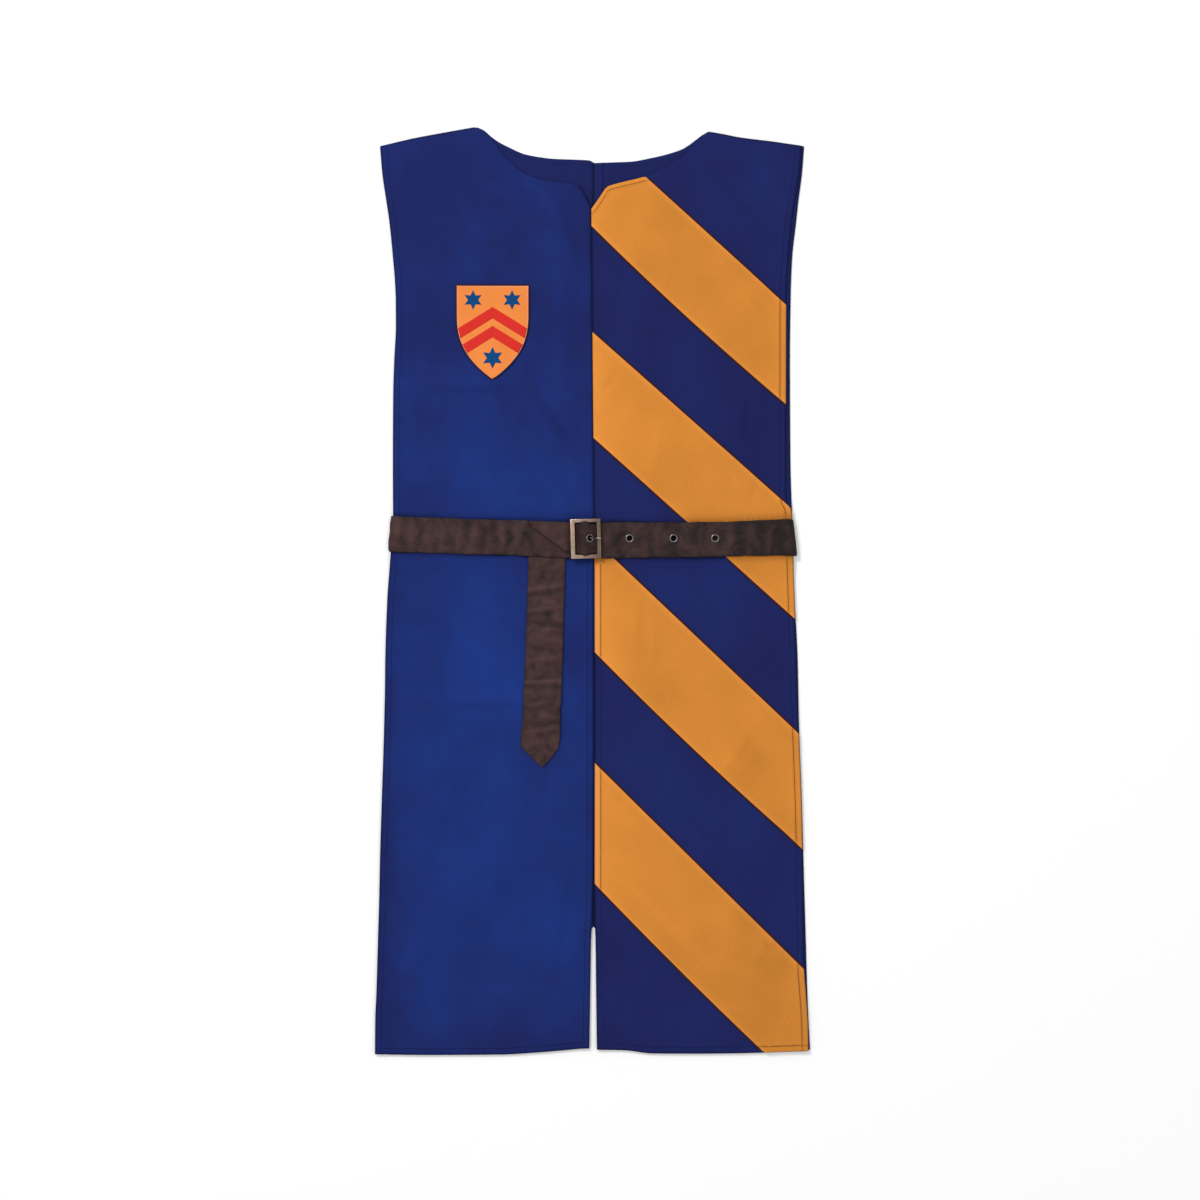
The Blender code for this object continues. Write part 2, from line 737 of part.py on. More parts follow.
def make_buckle():
    """Rectangular frame with chamfered bars and a centre bar."""
    profile = (
        (0.0, 0.0),
        (0.0, BUCKLE_THICK - BUCKLE_CHAMFER),
        (0.22, BUCKLE_THICK),
        (0.78, BUCKLE_THICK),
        (1.0, BUCKLE_THICK - BUCKLE_CHAMFER),
        (1.0, 0.0),
    )
    outer = (
        (-BUCKLE_HALF_WIDTH, -BUCKLE_HALF_HEIGHT),
        (BUCKLE_HALF_WIDTH, -BUCKLE_HALF_HEIGHT),
        (BUCKLE_HALF_WIDTH, BUCKLE_HALF_HEIGHT),
        (-BUCKLE_HALF_WIDTH, BUCKLE_HALF_HEIGHT),
    )
    inner = (
        (-BUCKLE_HALF_WIDTH + BUCKLE_LEFT_BAR, -BUCKLE_HALF_HEIGHT + BUCKLE_BOTTOM_BAR),
        (BUCKLE_HALF_WIDTH - BUCKLE_RIGHT_BAR, -BUCKLE_HALF_HEIGHT + BUCKLE_BOTTOM_BAR),
        (BUCKLE_HALF_WIDTH - BUCKLE_RIGHT_BAR, BUCKLE_HALF_HEIGHT - BUCKLE_TOP_BAR),
        (-BUCKLE_HALF_WIDTH + BUCKLE_LEFT_BAR, BUCKLE_HALF_HEIGHT - BUCKLE_TOP_BAR),
    )
    shape = bmesh.new()
    rings = []
    for share, z in profile:
        ring = []
        for (x, y), (inner_x, inner_y) in zip(outer, inner):
            point = (blend(x, inner_x, share), blend(y, inner_y, share), z)
            ring.append(shape.verts.new(point))
        rings.append(ring)
    for k, ring in enumerate(rings):
        following = rings[(k + 1) % len(rings)]
        for j in range(4):
            after = (j + 1) % 4
            shape.faces.new((ring[j], ring[after], following[after], following[j]))
    place = Matrix.Translation((BUCKLE_X, BUCKLE_Y, BUCKLE_UNDER)) @ Matrix.Rotation(BUCKLE_LEAN, 4, "Z")
    bmesh.ops.transform(shape, matrix=place, verts=shape.verts)
    frame = add_object("buckle_frame", shape, BRASS)

    bar = bmesh.new()
    low, high = inner[0][1] - BAR_SUNK, inner[2][1] + BAR_SUNK
    upright = Matrix.Rotation(math.pi / 2, 4, "X")
    middle = Matrix.Translation((0, (low + high) / 2, BAR_Z - BUCKLE_UNDER))
    bmesh.ops.create_cone(
        bar, segments=12, radius1=BAR_RADIUS, radius2=BAR_RADIUS, depth=high - low, cap_ends=True,
        matrix=place @ middle @ upright,
    )
    tool = add_object("centre_bar_tool", bar, BRASS)
    tool.hide_render = True
    tool.display_type = "WIRE"
    join = frame.modifiers.new("centre bar", "BOOLEAN")
    join.operation = "UNION"
    join.solver = "EXACT"
    join.object = tool


def make_prong():
    """Wire that hooks round the centre bar, comes up through the eyelet and rests on the right bar."""
    route = [*arc(BUCKLE_X, BAR_Z, BAR_RADIUS + GAP + PRONG_RADIUS, 100, 360, 12), *PRONG_OVER]
    curve = bpy.data.curves.new("buckle_prong", "CURVE")
    curve.dimensions = "3D"
    curve.bevel_depth = PRONG_RADIUS * MM
    curve.bevel_resolution = 2
    curve.use_fill_caps = True
    spline = curve.splines.new("POLY")
    spline.points.add(len(route) - 1)
    for point, (x, z) in zip(spline.points, route):
        point.co = (x * MM, EYELET_Y * MM, z * MM, 1)
    link_piece("buckle_prong", curve, STEEL)


def make_eyelet(name, x, z, slope):
    """Flanged ring: radius and height of each corner above the middle of the strap, turned round."""
    seat = STRAP / 2 + GAP
    section = (
        (EYELET_BORE, -STRAP / 2 + 0.1),
        (EYELET_BARREL, -STRAP / 2 + 0.1),
        (EYELET_BARREL, seat),
        (EYELET_FLANGE, seat),
        (EYELET_FLANGE - 0.2, seat + 0.3),
        (EYELET_FLANGE - 1.0, seat + 0.55),
        (EYELET_BORE + 0.5, seat + 0.5),
        (EYELET_BORE, seat + 0.15),
    )
    shape = bmesh.new()
    corners = [shape.verts.new((radius, 0, height)) for radius, height in section]
    edges = [shape.edges.new((corners[k - 1], corners[k])) for k in range(len(corners))]
    bmesh.ops.spin(
        shape, geom=corners + edges, cent=(0, 0, 0), axis=(0, 0, 1), angle=2 * math.pi,
        steps=16, use_merge=True,
    )
    bmesh.ops.remove_doubles(shape, verts=shape.verts, dist=1e-4)
    place = Matrix.Translation((x, EYELET_Y, z)) @ Matrix.Rotation(slope, 4, "Y")
    bmesh.ops.transform(shape, matrix=place, verts=shape.verts)
    add_object(name, shape, STEEL, smooth=True)


def make_eyelets():
    path, holes = hole_end_path()
    for number, k in enumerate(holes, start=1):
        x, z = path[k]
        make_eyelet(f"eyelet_{number}", x, z, BUCKLED_SLOPE if k == holes[-1] else 0.0)


def main():
    clear_scene()
    front_left, front_right = front_grid(True), front_grid(False)
    make_back("back_left", True)
    make_back("back_right", False)
    make_front("front_left", front_left)
    make_front("front_right", front_right)
    make_stripes(front_right)
    make_shield(front_left)
    make_belt_back()
    make_belt_buckle_end()
    make_belt_hole_end()
    make_belt_tail(front_left)
    make_buckle()
    make_prong()
    make_eyelets()


main()
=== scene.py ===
# Medieval surcoat with its belt, laid flat on a pale table.
# Sizes are in millimetres; left and right are as seen from above.

import bisect
import math
from collections import namedtuple

import bmesh
import bpy
from mathutils import Matrix, Vector, noise


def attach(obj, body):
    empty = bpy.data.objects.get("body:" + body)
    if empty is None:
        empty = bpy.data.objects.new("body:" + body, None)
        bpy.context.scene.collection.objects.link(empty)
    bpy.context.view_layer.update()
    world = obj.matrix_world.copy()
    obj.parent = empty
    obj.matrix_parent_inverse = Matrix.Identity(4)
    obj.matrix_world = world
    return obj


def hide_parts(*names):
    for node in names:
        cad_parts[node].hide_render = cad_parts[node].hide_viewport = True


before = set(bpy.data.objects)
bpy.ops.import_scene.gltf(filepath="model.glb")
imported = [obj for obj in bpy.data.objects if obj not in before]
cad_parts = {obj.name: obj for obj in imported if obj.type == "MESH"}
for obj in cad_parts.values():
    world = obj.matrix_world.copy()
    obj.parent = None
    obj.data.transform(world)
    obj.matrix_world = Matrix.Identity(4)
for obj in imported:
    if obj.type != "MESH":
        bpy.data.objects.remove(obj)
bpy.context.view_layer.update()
bpy.ops.object.select_all(action="DESELECT")
mm = 0.001

coat = {
    "cloth": 1.2, "gap": 0.3, "stripe": 0.9, "lie": 0.12,
    "halfLength": 463.5, "chestY": 345.0, "yokeTopY": 440.0,
    "slitTopY": -336.0, "backInset": 2.0, "backHemInset": 1.0,
    "beltLowY": 30.0, "beltHighY": 76.0, "beltRamp": 18.0, "beltLift": 1.5,
    "loft": 1.1, "hemWidth": 8.6, "stitchIn": 6.2, "neckHem": 1.4,
}

# Heights along the sides, then the edge there
frontLeftSide = (
    (-463.5, -218.2), (-430, -217.9), (-404, -216.8), (-350, -215.2), (-306, -213.9), (-270, -213.2),
    (-210, -211.4), (-156, -209.6), (-96, -208.2), (-70, -207.9),
    (-10, -205.9), (30, -202.9), (46, -201.6),
    (60, -200.7), (70, -200), (80, -200), (92, -200.2), (130, -200.3),
    (198, -199.9), (230, -198.9), (264, -197.3),
    (290, -197.4), (308, -198.2), (330, -200), (370, -204), (390, -207), (418, -211), (444, -213.2),
)
frontRightSide = (
    (-463.5, 215.5), (-436, 215), (-408, 213.3), (-378, 211.2),
    (-350, 210.8), (-270, 209.7), (-210, 208.4),
    (-150, 206.2), (-70, 203.4), (-10, 201.5), (30, 200.1),
    (70, 199), (80, 198), (88, 194.4), (98, 193), (130, 193),
    (230, 193.2), (290, 193.4), (330, 195.4), (370, 199), (390, 202), (418, 206.5), (444, 209),
)
backRightSide = (
    (-463.5, 217.5), (-436, 216), (-404, 214.6), (-350, 213), (-270, 210.7), (-210, 209.1), (-130, 206.1),
    (-70, 204.9), (-10, 202), (30, 200.6), (70, 199.5), (92, 198.6), (130, 197.6), (230, 197.1),
    (290, 197.8), (330, 199.2), (370, 203.5), (390, 205.7), (418, 209.3), (444, 211.3),
)

# Centre seams: height, middle and half the gap; the front's gap widens into the slit
frontSeamRows = (
    (-463.5, 0.1, 3.8), (-400, 0.2, 2.9), (-350, 0.3, 2.2),
    (-338, 0.4, 1.6), (-322, 0.6, 1.1), (-290, 0.9, 0.65),
    (-160, 1.2, 0.4), (20, 1.2, 0.3), (34, 1.2, 0.06), (155, 0.3, 0.06), (383, -1.8, 0.06),
)
backSeamRows = (
    (-463.5, 0.1, 4.6), (-350, 0.3, 3.0), (-342, 0.4, 2.4),
    (-338.2, 0.45, 1.3), (-336.8, 0.5, 0), (427, 0.5, 0),
)
hemLine = (
    (-218, -464.6), (-166, -465.3), (-93, -464.9), (-54, -462.7), (-33, -461), (-4, -458.8), (4, -460),
    (31, -460.6), (60, -463.8), (100, -464), (140, -463.7), (175, -462.8), (218, -461.3),
)
leftShoulder = ((-213, 444.2), (-180, 452), (-148, 458), (-117, 463.5))
rightShoulder = ((115.5, 458.9), (128, 456.8), (147, 453), (178, 449.1), (211, 444.3))
frontLeftNeck = (
    (-117, 463.5), (-111, 459.5), (-104, 453), (-88, 433), (-68, 416),
    (-46, 409), (-27, 407), (-15, 405.5), (-8, 396), (-2, 383),
)
frontRightNeck = (
    (-1.6, 381.8), (5, 391), (11, 400), (13.4, 403.2), (17, 404.9),
    (33, 409.2), (52, 414), (87, 432), (104, 447.5),
    (115.5, 458.9),
)
backLeftNeck = (
    (-117, 463.5), (-111, 461.6), (-104, 455.5), (-96, 449.4), (-82, 442.1), (-69, 436.4), (-54, 433.4),
    (-40, 431.7), (-12, 430.6), (-3, 429.9), (-0.5, 428.4),
)
backRightNeck = (
    (0.5, 427.4), (16, 428), (38, 428.8), (58, 432.4),
    (72, 435.6), (90, 441.6), (103, 450.6), (109, 455.2),
    (115.5, 458.9),
)
# Lower and upper edge of the belt along the coat
beltLowRows = (
    (-205, 37.8), (-185, 37.3), (-143, 36.3), (-93, 34.8), (-65, 33.7), (-25, 32), (9, 31.5), (47, 32.1),
    (97, 32.7), (141, 33.8), (173, 34.4), (189, 34.6), (203, 33.8),
)
beltHighRows = (
    (-205, 73.9), (-185, 73.1), (-143, 71.9), (-93, 70.2), (-65, 69.4), (-25, 68), (9, 67.8), (47, 68.1),
    (97, 67.7), (125, 68), (150, 69), (181, 70.3), (203, 70.7),
)

# Broad folds of the front: middle x and y, direction, half length, half width, height
foldRows = (
    (-62, 178, -50, 95, 34, 2.6), (-128, 205, 2, 90, 30, 1.5), (-38, 345, -72, 75, 30, 2.2),
    (-150, 330, 80, 105, 45, 2.0), (-120, -120, -3, 110, 40, 1.8), (-130, -290, 75, 150, 55, 2.4),
    (-35, -260, 82, 120, 32, 1.4), (152, 165, 88, 62, 30, 2.4), (150, 330, -55, 85, 36, 2.2),
    (60, 250, -43, 120, 40, 1.8), (45, -60, 80, 80, 34, 1.6), (150, -150, 60, 80, 38, 2.2),
    (105, -290, -45, 130, 45, 2.0), (175, -370, 50, 70, 34, 1.6),
)

# Creases pressed or pulled into the front: the same columns, troughs below zero
creaseRows = (
    (-118, 199, 0.5, 92, 7, -0.9), (-122, 207, 1, 85, 9, 0.7), (-40, 170, -52, 58, 9, -1.3),
    (-62, 190, -48, 40, 8, 0.8), (-22, 120, -75, 42, 9, 0.8), (-110, -117, 1, 100, 7, -0.8),
    (-112, -109, -1, 96, 9, 0.6), (-20, 352, -68, 52, 7, -1.1), (-38, 372, -60, 46, 7, 0.9),
    (-62, 392, -50, 34, 6, -0.7), (-95, 400, -32, 44, 9, 0.7), (-170, 395, 60, 40, 10, -0.6),
    (-160, 130, 35, 44, 9, 0.6), (-175, 250, 82, 60, 9, -0.6), (-28, -330, 80, 90, 8, -0.9),
    (-44, -210, 78, 70, 8, 0.8), (-150, -240, 72, 70, 12, -0.7), (-180, -360, 65, 80, 11, 0.7),
    (-90, -400, 4, 70, 9, 0.6), (-160, -30, 20, 44, 10, -0.5), (-115, -60, -25, 46, 12, 0.6),
    (152, 168, 86, 36, 5, -1.3), (160, 100, 72, 24, 4, -1.1), (144, 106, -60, 20, 4, 0.7),
    (16, 208, 62, 18, 5, -1.0), (26, 180, -20, 26, 6, 0.6), (166, 282, -50, 26, 5, -1.0),
    (158, 288, -48, 24, 5, 0.7), (152, -158, 52, 38, 8, -0.8), (138, -168, 54, 34, 9, 0.7),
    (48, -36, 84, 44, 6, -0.9), (58, -60, 86, 40, 6, 0.7), (178, -358, 38, 26, 5, -1.2),
    (168, -364, 40, 24, 6, 0.8), (150, 385, -48, 62, 10, -1.2), (176, 408, -60, 36, 12, 1.0),
    (98, 372, -46, 60, 9, 0.8), (60, 130, 84, 34, 7, 0.5), (60, -200, -44, 70, 9, 0.6),
    (120, -250, -40, 80, 8, -0.7), (70, -330, -46, 80, 9, 0.8), (30, -410, 70, 44, 8, -0.7),
    (120, -420, 5, 60, 8, 0.6), (24, 300, 80, 60, 7, -0.6),
)


def blend(start, end, share):
    return start + (end - start) * share


def ease(share):
    share = min(max(share, 0.0), 1.0)
    return share * share * (3 - 2 * share)


def bell(offset, width):
    return math.exp(-((offset / width) ** 2))


def noiseAt(x, y, seed):
    return noise.noise(Vector((x, y, seed)))


def smoothCurve(points):  # passes through every point and never overshoots
    xs, ys = [p[0] for p in points], [p[1] for p in points]
    rises = [(ys[i + 1] - ys[i]) / (xs[i + 1] - xs[i]) for i in range(len(xs) - 1)]
    tangents = [rises[0]]
    for before, after in zip(rises, rises[1:]):
        tangents.append(0.0 if before * after <= 0 else 2 * before * after / (before + after))
    tangents.append(rises[-1])

    def at(x):
        if x <= xs[0]:
            return ys[0]
        if x >= xs[-1]:
            return ys[-1]
        i = bisect.bisect_right(xs, x) - 1
        span = xs[i + 1] - xs[i]
        t = (x - xs[i]) / span
        start = (1 + 2 * t) * (1 - t) ** 2 * ys[i] + t * (1 - t) ** 2 * span * tangents[i]
        return start + t * t * (3 - 2 * t) * ys[i + 1] + t * t * (t - 1) * span * tangents[i + 1]

    return at


hemY = smoothCurve(hemLine)


def seamEdge(rows, sign):
    middle = smoothCurve([(y, x) for y, x, _ in rows])
    halfGap = smoothCurve([(y, half) for y, _, half in rows])
    return lambda y: middle(y) + sign * halfGap(y)


def makePanel(side, seamRows, shoulder, neck, away, hemRise=0.0):
    shoulderCurve, neckCurve = smoothCurve(shoulder), smoothCurve(neck)
    neckX = shoulder[-1][0] if away < 0 else shoulder[0][0]  # where the neckline meets the shoulder

    def top(x):
        return shoulderCurve(x) if (x - neckX) * away > 0 else neckCurve(x)

    def stretch(x):  # how much further down than across the edge an even border runs
        slope = (top(x + 0.6) - top(x - 0.6)) / 1.2
        return min(math.sqrt(1 + slope * slope), 2.2)

    return {
        "side": side, "centre": seamEdge(seamRows, away), "top": top, "stretch": stretch,
        "neckX": neckX, "away": away, "hem": lambda x: hemY(x) + hemRise,
    }


leftSideCurve = smoothCurve(frontLeftSide)
beltLow = smoothCurve(beltLowRows)
beltHigh = smoothCurve(beltHighRows)
leftPanel = makePanel(leftSideCurve, frontSeamRows, leftShoulder, frontLeftNeck, -1)
rightPanel = makePanel(smoothCurve(frontRightSide), frontSeamRows, rightShoulder, frontRightNeck, 1)
panels = {
    "front_left": leftPanel,
    "front_right": rightPanel,
    "back_left": makePanel(
        lambda y: leftSideCurve(y) + coat["backInset"], backSeamRows, leftShoulder, backLeftNeck, -1,
        coat["backHemInset"],
    ),
    "back_right": makePanel(
        smoothCurve(backRightSide), backSeamRows, rightShoulder, backRightNeck, 1, coat["backHemInset"],
    ),
}

edgeSteps = (0, 0.3, 0.7, 1.3, 2.2, 3.6, 4.8, 5.5, 5.9, 6.2, 6.5, 7.0, 7.8, 8.8, 10.0, 12.5)
slitRows = (-352, -346, -342.5, -340, -338.4, -337.4, -336.6, -334.5, -331, -326)


# Rows of x, y: even borders along the edges, even cells between
def gridOf(panel, step):
    width = abs(panel["centre"](0) - panel["side"](0))
    border = edgeSteps[-1]
    inner = int((width - 2 * border) / step)
    columns = [("side", d) for d in edgeSteps]
    columns += [("inner", k / inner) for k in range(1, inner)]
    columns += [("centre", d) for d in reversed(edgeSteps)]
    body = int((coat["chestY"] + coat["halfLength"] - border) / step)
    yoke = int((coat["yokeTopY"] - coat["chestY"] - border) / step)
    rows = [("hem", d) for d in edgeSteps]
    start = panel["hem"](0) + border
    slits = [(y - start) / (coat["chestY"] - start) for y in slitRows]
    levels = [k / body for k in range(1, body + 1) if all(abs(k / body - level) > 0.002 for level in slits)]
    rows += [("body", level) for level in sorted(levels + slits)]
    rows += [("yoke", k / yoke) for k in range(1, yoke)]
    rows += [("top", d) for d in reversed(edgeSteps)]

    def acrossAt(kind, value, y):
        side, centre = panel["side"](y), panel["centre"](y)
        inwards = -panel["away"]
        if kind == "side":
            return side + inwards * value
        if kind == "centre":
            return centre - inwards * value
        return blend(side + inwards * border, centre - inwards * border, value)

    def upAt(kind, value, x):
        if kind == "hem":
            return panel["hem"](x) + value
        if kind == "body":
            return blend(panel["hem"](x) + border, coat["chestY"], value)
        top = panel["top"](x)  # the border may not reach below the chest line
        reach = min(border * panel["stretch"](x), 0.7 * (top - coat["chestY"]))
        if kind == "yoke":
            return blend(coat["chestY"], top - reach, value)
        return top - value / border * reach

    grid = []
    for rowKind, rowValue in rows:
        row = []
        for columnKind, columnValue in columns:
            y = 0.0 if rowKind == "body" else coat["chestY"]
            for _ in range(4):
                x = acrossAt(columnKind, columnValue, y)
                y = upAt(rowKind, rowValue, x)
            row.append((x, y))
        grid.append(row)
    return grid


def besideBelt(y):  # distance outside the band that the belt covers, below zero inside it
    return max(coat["beltLowY"] - y, y - coat["beltHighY"])


def belowBelt(y):  # one on the skirt, nothing above the belt
    return ease((coat["beltLowY"] - y) / 10)


def beltLift(y):
    return coat["beltLift"] * (1 - ease(besideBelt(y) / coat["beltRamp"]))


def rowHeight(rows, x, y):
    total = 0.0
    for midX, midY, angle, halfLength, halfWidth, height in rows:
        dx, dy = x - midX, y - midY
        if abs(dx) > halfLength + halfWidth or abs(dy) > halfLength + halfWidth:
            continue
        turn = math.radians(angle)
        along = abs(dx * math.cos(turn) + dy * math.sin(turn)) / halfLength
        beside = abs(dy * math.cos(turn) - dx * math.sin(turn)) / halfWidth
        if along < 1 and beside < 1:
            total += height * ease(1 - along) * ease(1 - beside)
    return total


# Folded hem, the row of stitching that pulls it down, and the step at its inner edge
hem = {
    "rise": 0.38, "lip": 1.2, "before": 0.8, "step": 1.5, "groove": 0.24, "grooveHalf": 0.55, "reach": 20,
}


def hemRelief(distance):
    rise = hem["rise"] * ease(distance / hem["lip"])
    rise *= 1 - ease((distance - coat["hemWidth"] + hem["before"]) / hem["step"])
    return rise - hem["groove"] * bell(distance - coat["stitchIn"], hem["grooveHalf"])


def pucker(along, distance):  # short waves that the thread draws into a hem
    return 0.2 * noiseAt(along / 9.0, distance / 16.0, 3.3) * bell(distance - 5, 6)


def distances(panel, x, y):
    return {
        "side": abs(x - panel["side"](y)), "centre": abs(x - panel["centre"](y)),
        "hem": y - panel["hem"](x), "top": (panel["top"](x) - y) / panel["stretch"](x),
    }


def onNeck(panel, x):  # one on the neckline, nothing on the shoulder
    return ease((panel["neckX"] - x) * panel["away"] / 4 + 0.5)


def edgeRelief(panel, x, y, near):
    relief = 0.0
    for key, along in (("side", y), ("hem", x)):
        if near[key] < hem["reach"]:
            relief += hemRelief(near[key]) + pucker(along, near[key])
    if near["top"] < hem["reach"]:
        neck = onNeck(panel, x)
        relief += neck * (hemRelief(near["top"] * coat["neckHem"]) + pucker(x * 1.3, near["top"]))
        relief -= (1 - neck) * 0.9 * math.exp(-max(near["top"], 0) / 1.8)  # the shoulder seam rounds down
    if near["centre"] < hem["reach"]:
        slit = belowBelt(y)
        relief += slit * (hemRelief(near["centre"]) + pucker(y, near["centre"]))
        relief += (1 - slit) * 0.25 * (1 - ease((near["centre"] - 9) / 3))  # the seam allowance beneath
        sewn = 1 - ease((coat["slitTopY"] - y) / 12)
        relief -= 0.85 * math.exp(-near["centre"] / 1.5) * sewn
        relief += (1 - slit) * 1.4 * pucker(y * 0.8 + 40, near["centre"])
    return relief * blend(0.3, 1.0, ease(besideBelt(y) / 8))


# Where the dye and painted light make the blue brighter, or darker for a negative amount: middle x and y,
# half width, half height, amount
brightRows = (
    (-98, 128, 95, 105, 0.4), (-112, -60, 95, 115, 0.55),
    (-125, -280, 92, 165, 0.6), (-38, -320, 30, 100, 0.3),
    (-20, 95, 26, 30, 0.15), (-24, -115, 14, 40, 0.35),
    (-170, 385, 60, 90, -0.25), (-214, -250, 24, 260, -0.3),
    (-100, -455, 130, 20, -0.25), (-14, 250, 20, 200, -0.15),
    (-60, 190, 34, 40, -0.2), (95, -5, 80, 60, 0.5),
    (177, 405, 36, 60, 0.5), (40, 90, 40, 40, 0.2), (60, -215, 60, 70, 0.2), (30, -420, 30, 50, 0.25),
    (110, -240, 110, 210, 0.28), (60, 200, 60, 60, 0.1),
    (165, -90, 40, 50, -0.2), (150, 330, 40, 50, -0.2),
)


def beltShade(x, y, close=0.45, reach=1.9):  # cloth darkens close to the belt and has no light under it
    away = max(beltLow(x) - y, y - beltHigh(x))
    if away < 0:
        return 1 - close - (0.97 - close) * ease((-away - 1) / 5)
    return 1 - close * bell(away, reach) - 0.12 * math.exp(-away / 7)


def clothTone(x, y):
    total = 0.22 + 0.35 * noiseAt(x / 45, y / 60, 4.7) + 0.16 * noiseAt(x / 14, y / 18, 2.1)
    for midX, midY, halfX, halfY, amount in brightRows:
        offX, offY = abs(x - midX) / halfX, abs(y - midY) / halfY
        if offX < 1.5 and offY < 1.5:
            total += amount * math.exp(-1.6 * (offX**4 + offY**4) ** 0.5)
    return min(max(total, 0.0), 1.0)


# Painted shadow of the fold at the low end of the left neckline: from and to, half width, amount
neckFoldShadow = {"from": (-14, 404), "to": (-2, 383), "half": 2.6, "amount": 0.5}


def clothShade(panel, x, y):  # a factor on the colour: painted shade on the rolled edges and along the stitched lines, painted light and shade on the creases, and the belt's painted shade
    near = distances(panel, x, y)
    neck = onNeck(panel, x)
    edge = min(near["side"], near["hem"], near["centre"], max(near["top"], 0) + 2.2 * neck)
    shade = 1 - 0.5 * math.exp(-((edge / 1.7) ** 2))
    rows = (
        (near["side"], 1.0), (near["hem"], 1.0), (near["top"] * coat["neckHem"], neck * 0.6),
        (near["centre"], belowBelt(y)),
    )
    for distance, amount in rows:
        shade *= 1 - amount * 0.09 * bell(distance - coat["stitchIn"], 0.8)
    shade *= 1 + 0.1 * rowHeight(creaseRows, x, y)
    (fromX, fromY), (toX, toY) = neckFoldShadow["from"], neckFoldShadow["to"]
    along = min(max((x - fromX) / (toX - fromX), 0), 1)
    away = math.hypot(x - blend(fromX, toX, along), y - blend(fromY, toY, along))
    shade *= 1 - neckFoldShadow["amount"] * bell(away, neckFoldShadow["half"])
    return shade * beltShade(x, y)


def frontUnder(panel, x, y, near):  # lower face of the front: folds, creases and the rise over the belt
    still = ease(min(near["side"], near["hem"], max(near["top"], 0) * 1.5, near["centre"] * 2.0) / 24)
    edgeStill = ease(min(near["side"], near["hem"]) / 9 + 0.15)
    away = besideBelt(y)
    free = ease((away - 2) / 30)
    inside = min(near["side"], near["centre"], near["hem"])
    soft = rowHeight(foldRows, x, y) + coat["loft"] * ease(inside / 50)
    fine = rowHeight(creaseRows, x, y)
    ripple = 0.55 * noiseAt(x / 62, y / 74, 0.7) + 0.2 * noiseAt(x / 21, y / 24, 5.1)
    ripple += 0.07 * noiseAt(x / 7, y / 8, 9.4)
    gather = 0.35 * bell(away - 14, 12) * noiseAt(x / 13, away / 40, 2.2)
    rise = soft * still * free + (fine + ripple) * edgeStill * free + gather * edgeStill
    return coat["cloth"] + coat["gap"] + beltLift(y) + max(rise, -0.15)


def lipShare(distance):  # how full the cloth's thickness is this far from its edge
    share = min(max(distance / 1.3, 0.0), 1.0)
    return 0.22 + 0.78 * math.sqrt(max(0.0, 1 - (1 - share) ** 2))


def rounded(low, high, near):  # the wall closes towards its edges
    full = lipShare(min(near.values()))
    middle = (low + high) / 2
    return middle + (low - middle) * full, middle + (high - middle) * full


def frontLayers(panel, x, y):
    near = distances(panel, x, y)
    low = frontUnder(panel, x, y, near)
    return rounded(low, low + coat["cloth"] + edgeRelief(panel, x, y, near), near)


# The face that lies on the table: grooves along stitching and seam, and shallow dents
backFace = {"groove": 0.32, "grooveHalf": 0.6, "seam": 0.5, "seamFall": 1.4, "dent": 0.25, "deepest": 0.6}


def backLayers(panel, x, y):
    near = distances(panel, x, y)
    groove = 0.0
    for key, amount in (("side", 1), ("hem", 1), ("top", onNeck(panel, x))):
        groove += backFace["groove"] * amount * bell(near[key] - coat["stitchIn"], backFace["grooveHalf"])
    groove += backFace["seam"] * math.exp(-near["centre"] / backFace["seamFall"])
    dent = backFace["dent"] * max(0.0, noiseAt(x / 34, y / 40, 8.8) - 0.05)
    dent *= ease(min(near["side"], near["hem"]) / 20)
    base = beltLift(y)
    high = base + coat["cloth"] + edgeRelief(panel, x, y, near) * 0.5
    return rounded(base + min(groove + dent, backFace["deepest"]), high, near)


def linked(name, data):
    thing = bpy.data.objects.new(name, data)
    bpy.context.scene.collection.objects.link(thing)
    return thing


def meshOf(name, verts, faces):
    mesh = bpy.data.meshes.new(name)
    mesh.from_pydata([(x * mm, y * mm, z * mm) for x, y, z in verts], [], faces)
    return mesh


# A smooth closed mesh; marks are named lists with one number for each point
def finishMesh(name, verts, faces, marks=None):
    mesh = meshOf(name, verts, faces)
    for key, values in (marks or {}).items():
        mesh.attributes.new(key, "FLOAT", "POINT").data.foreach_set("value", values)
    shape = bmesh.new()
    shape.from_mesh(mesh)
    bmesh.ops.recalc_face_normals(shape, faces=shape.faces)
    shape.to_mesh(mesh)
    shape.free()
    mesh.shade_smooth()
    return linked(name, mesh)


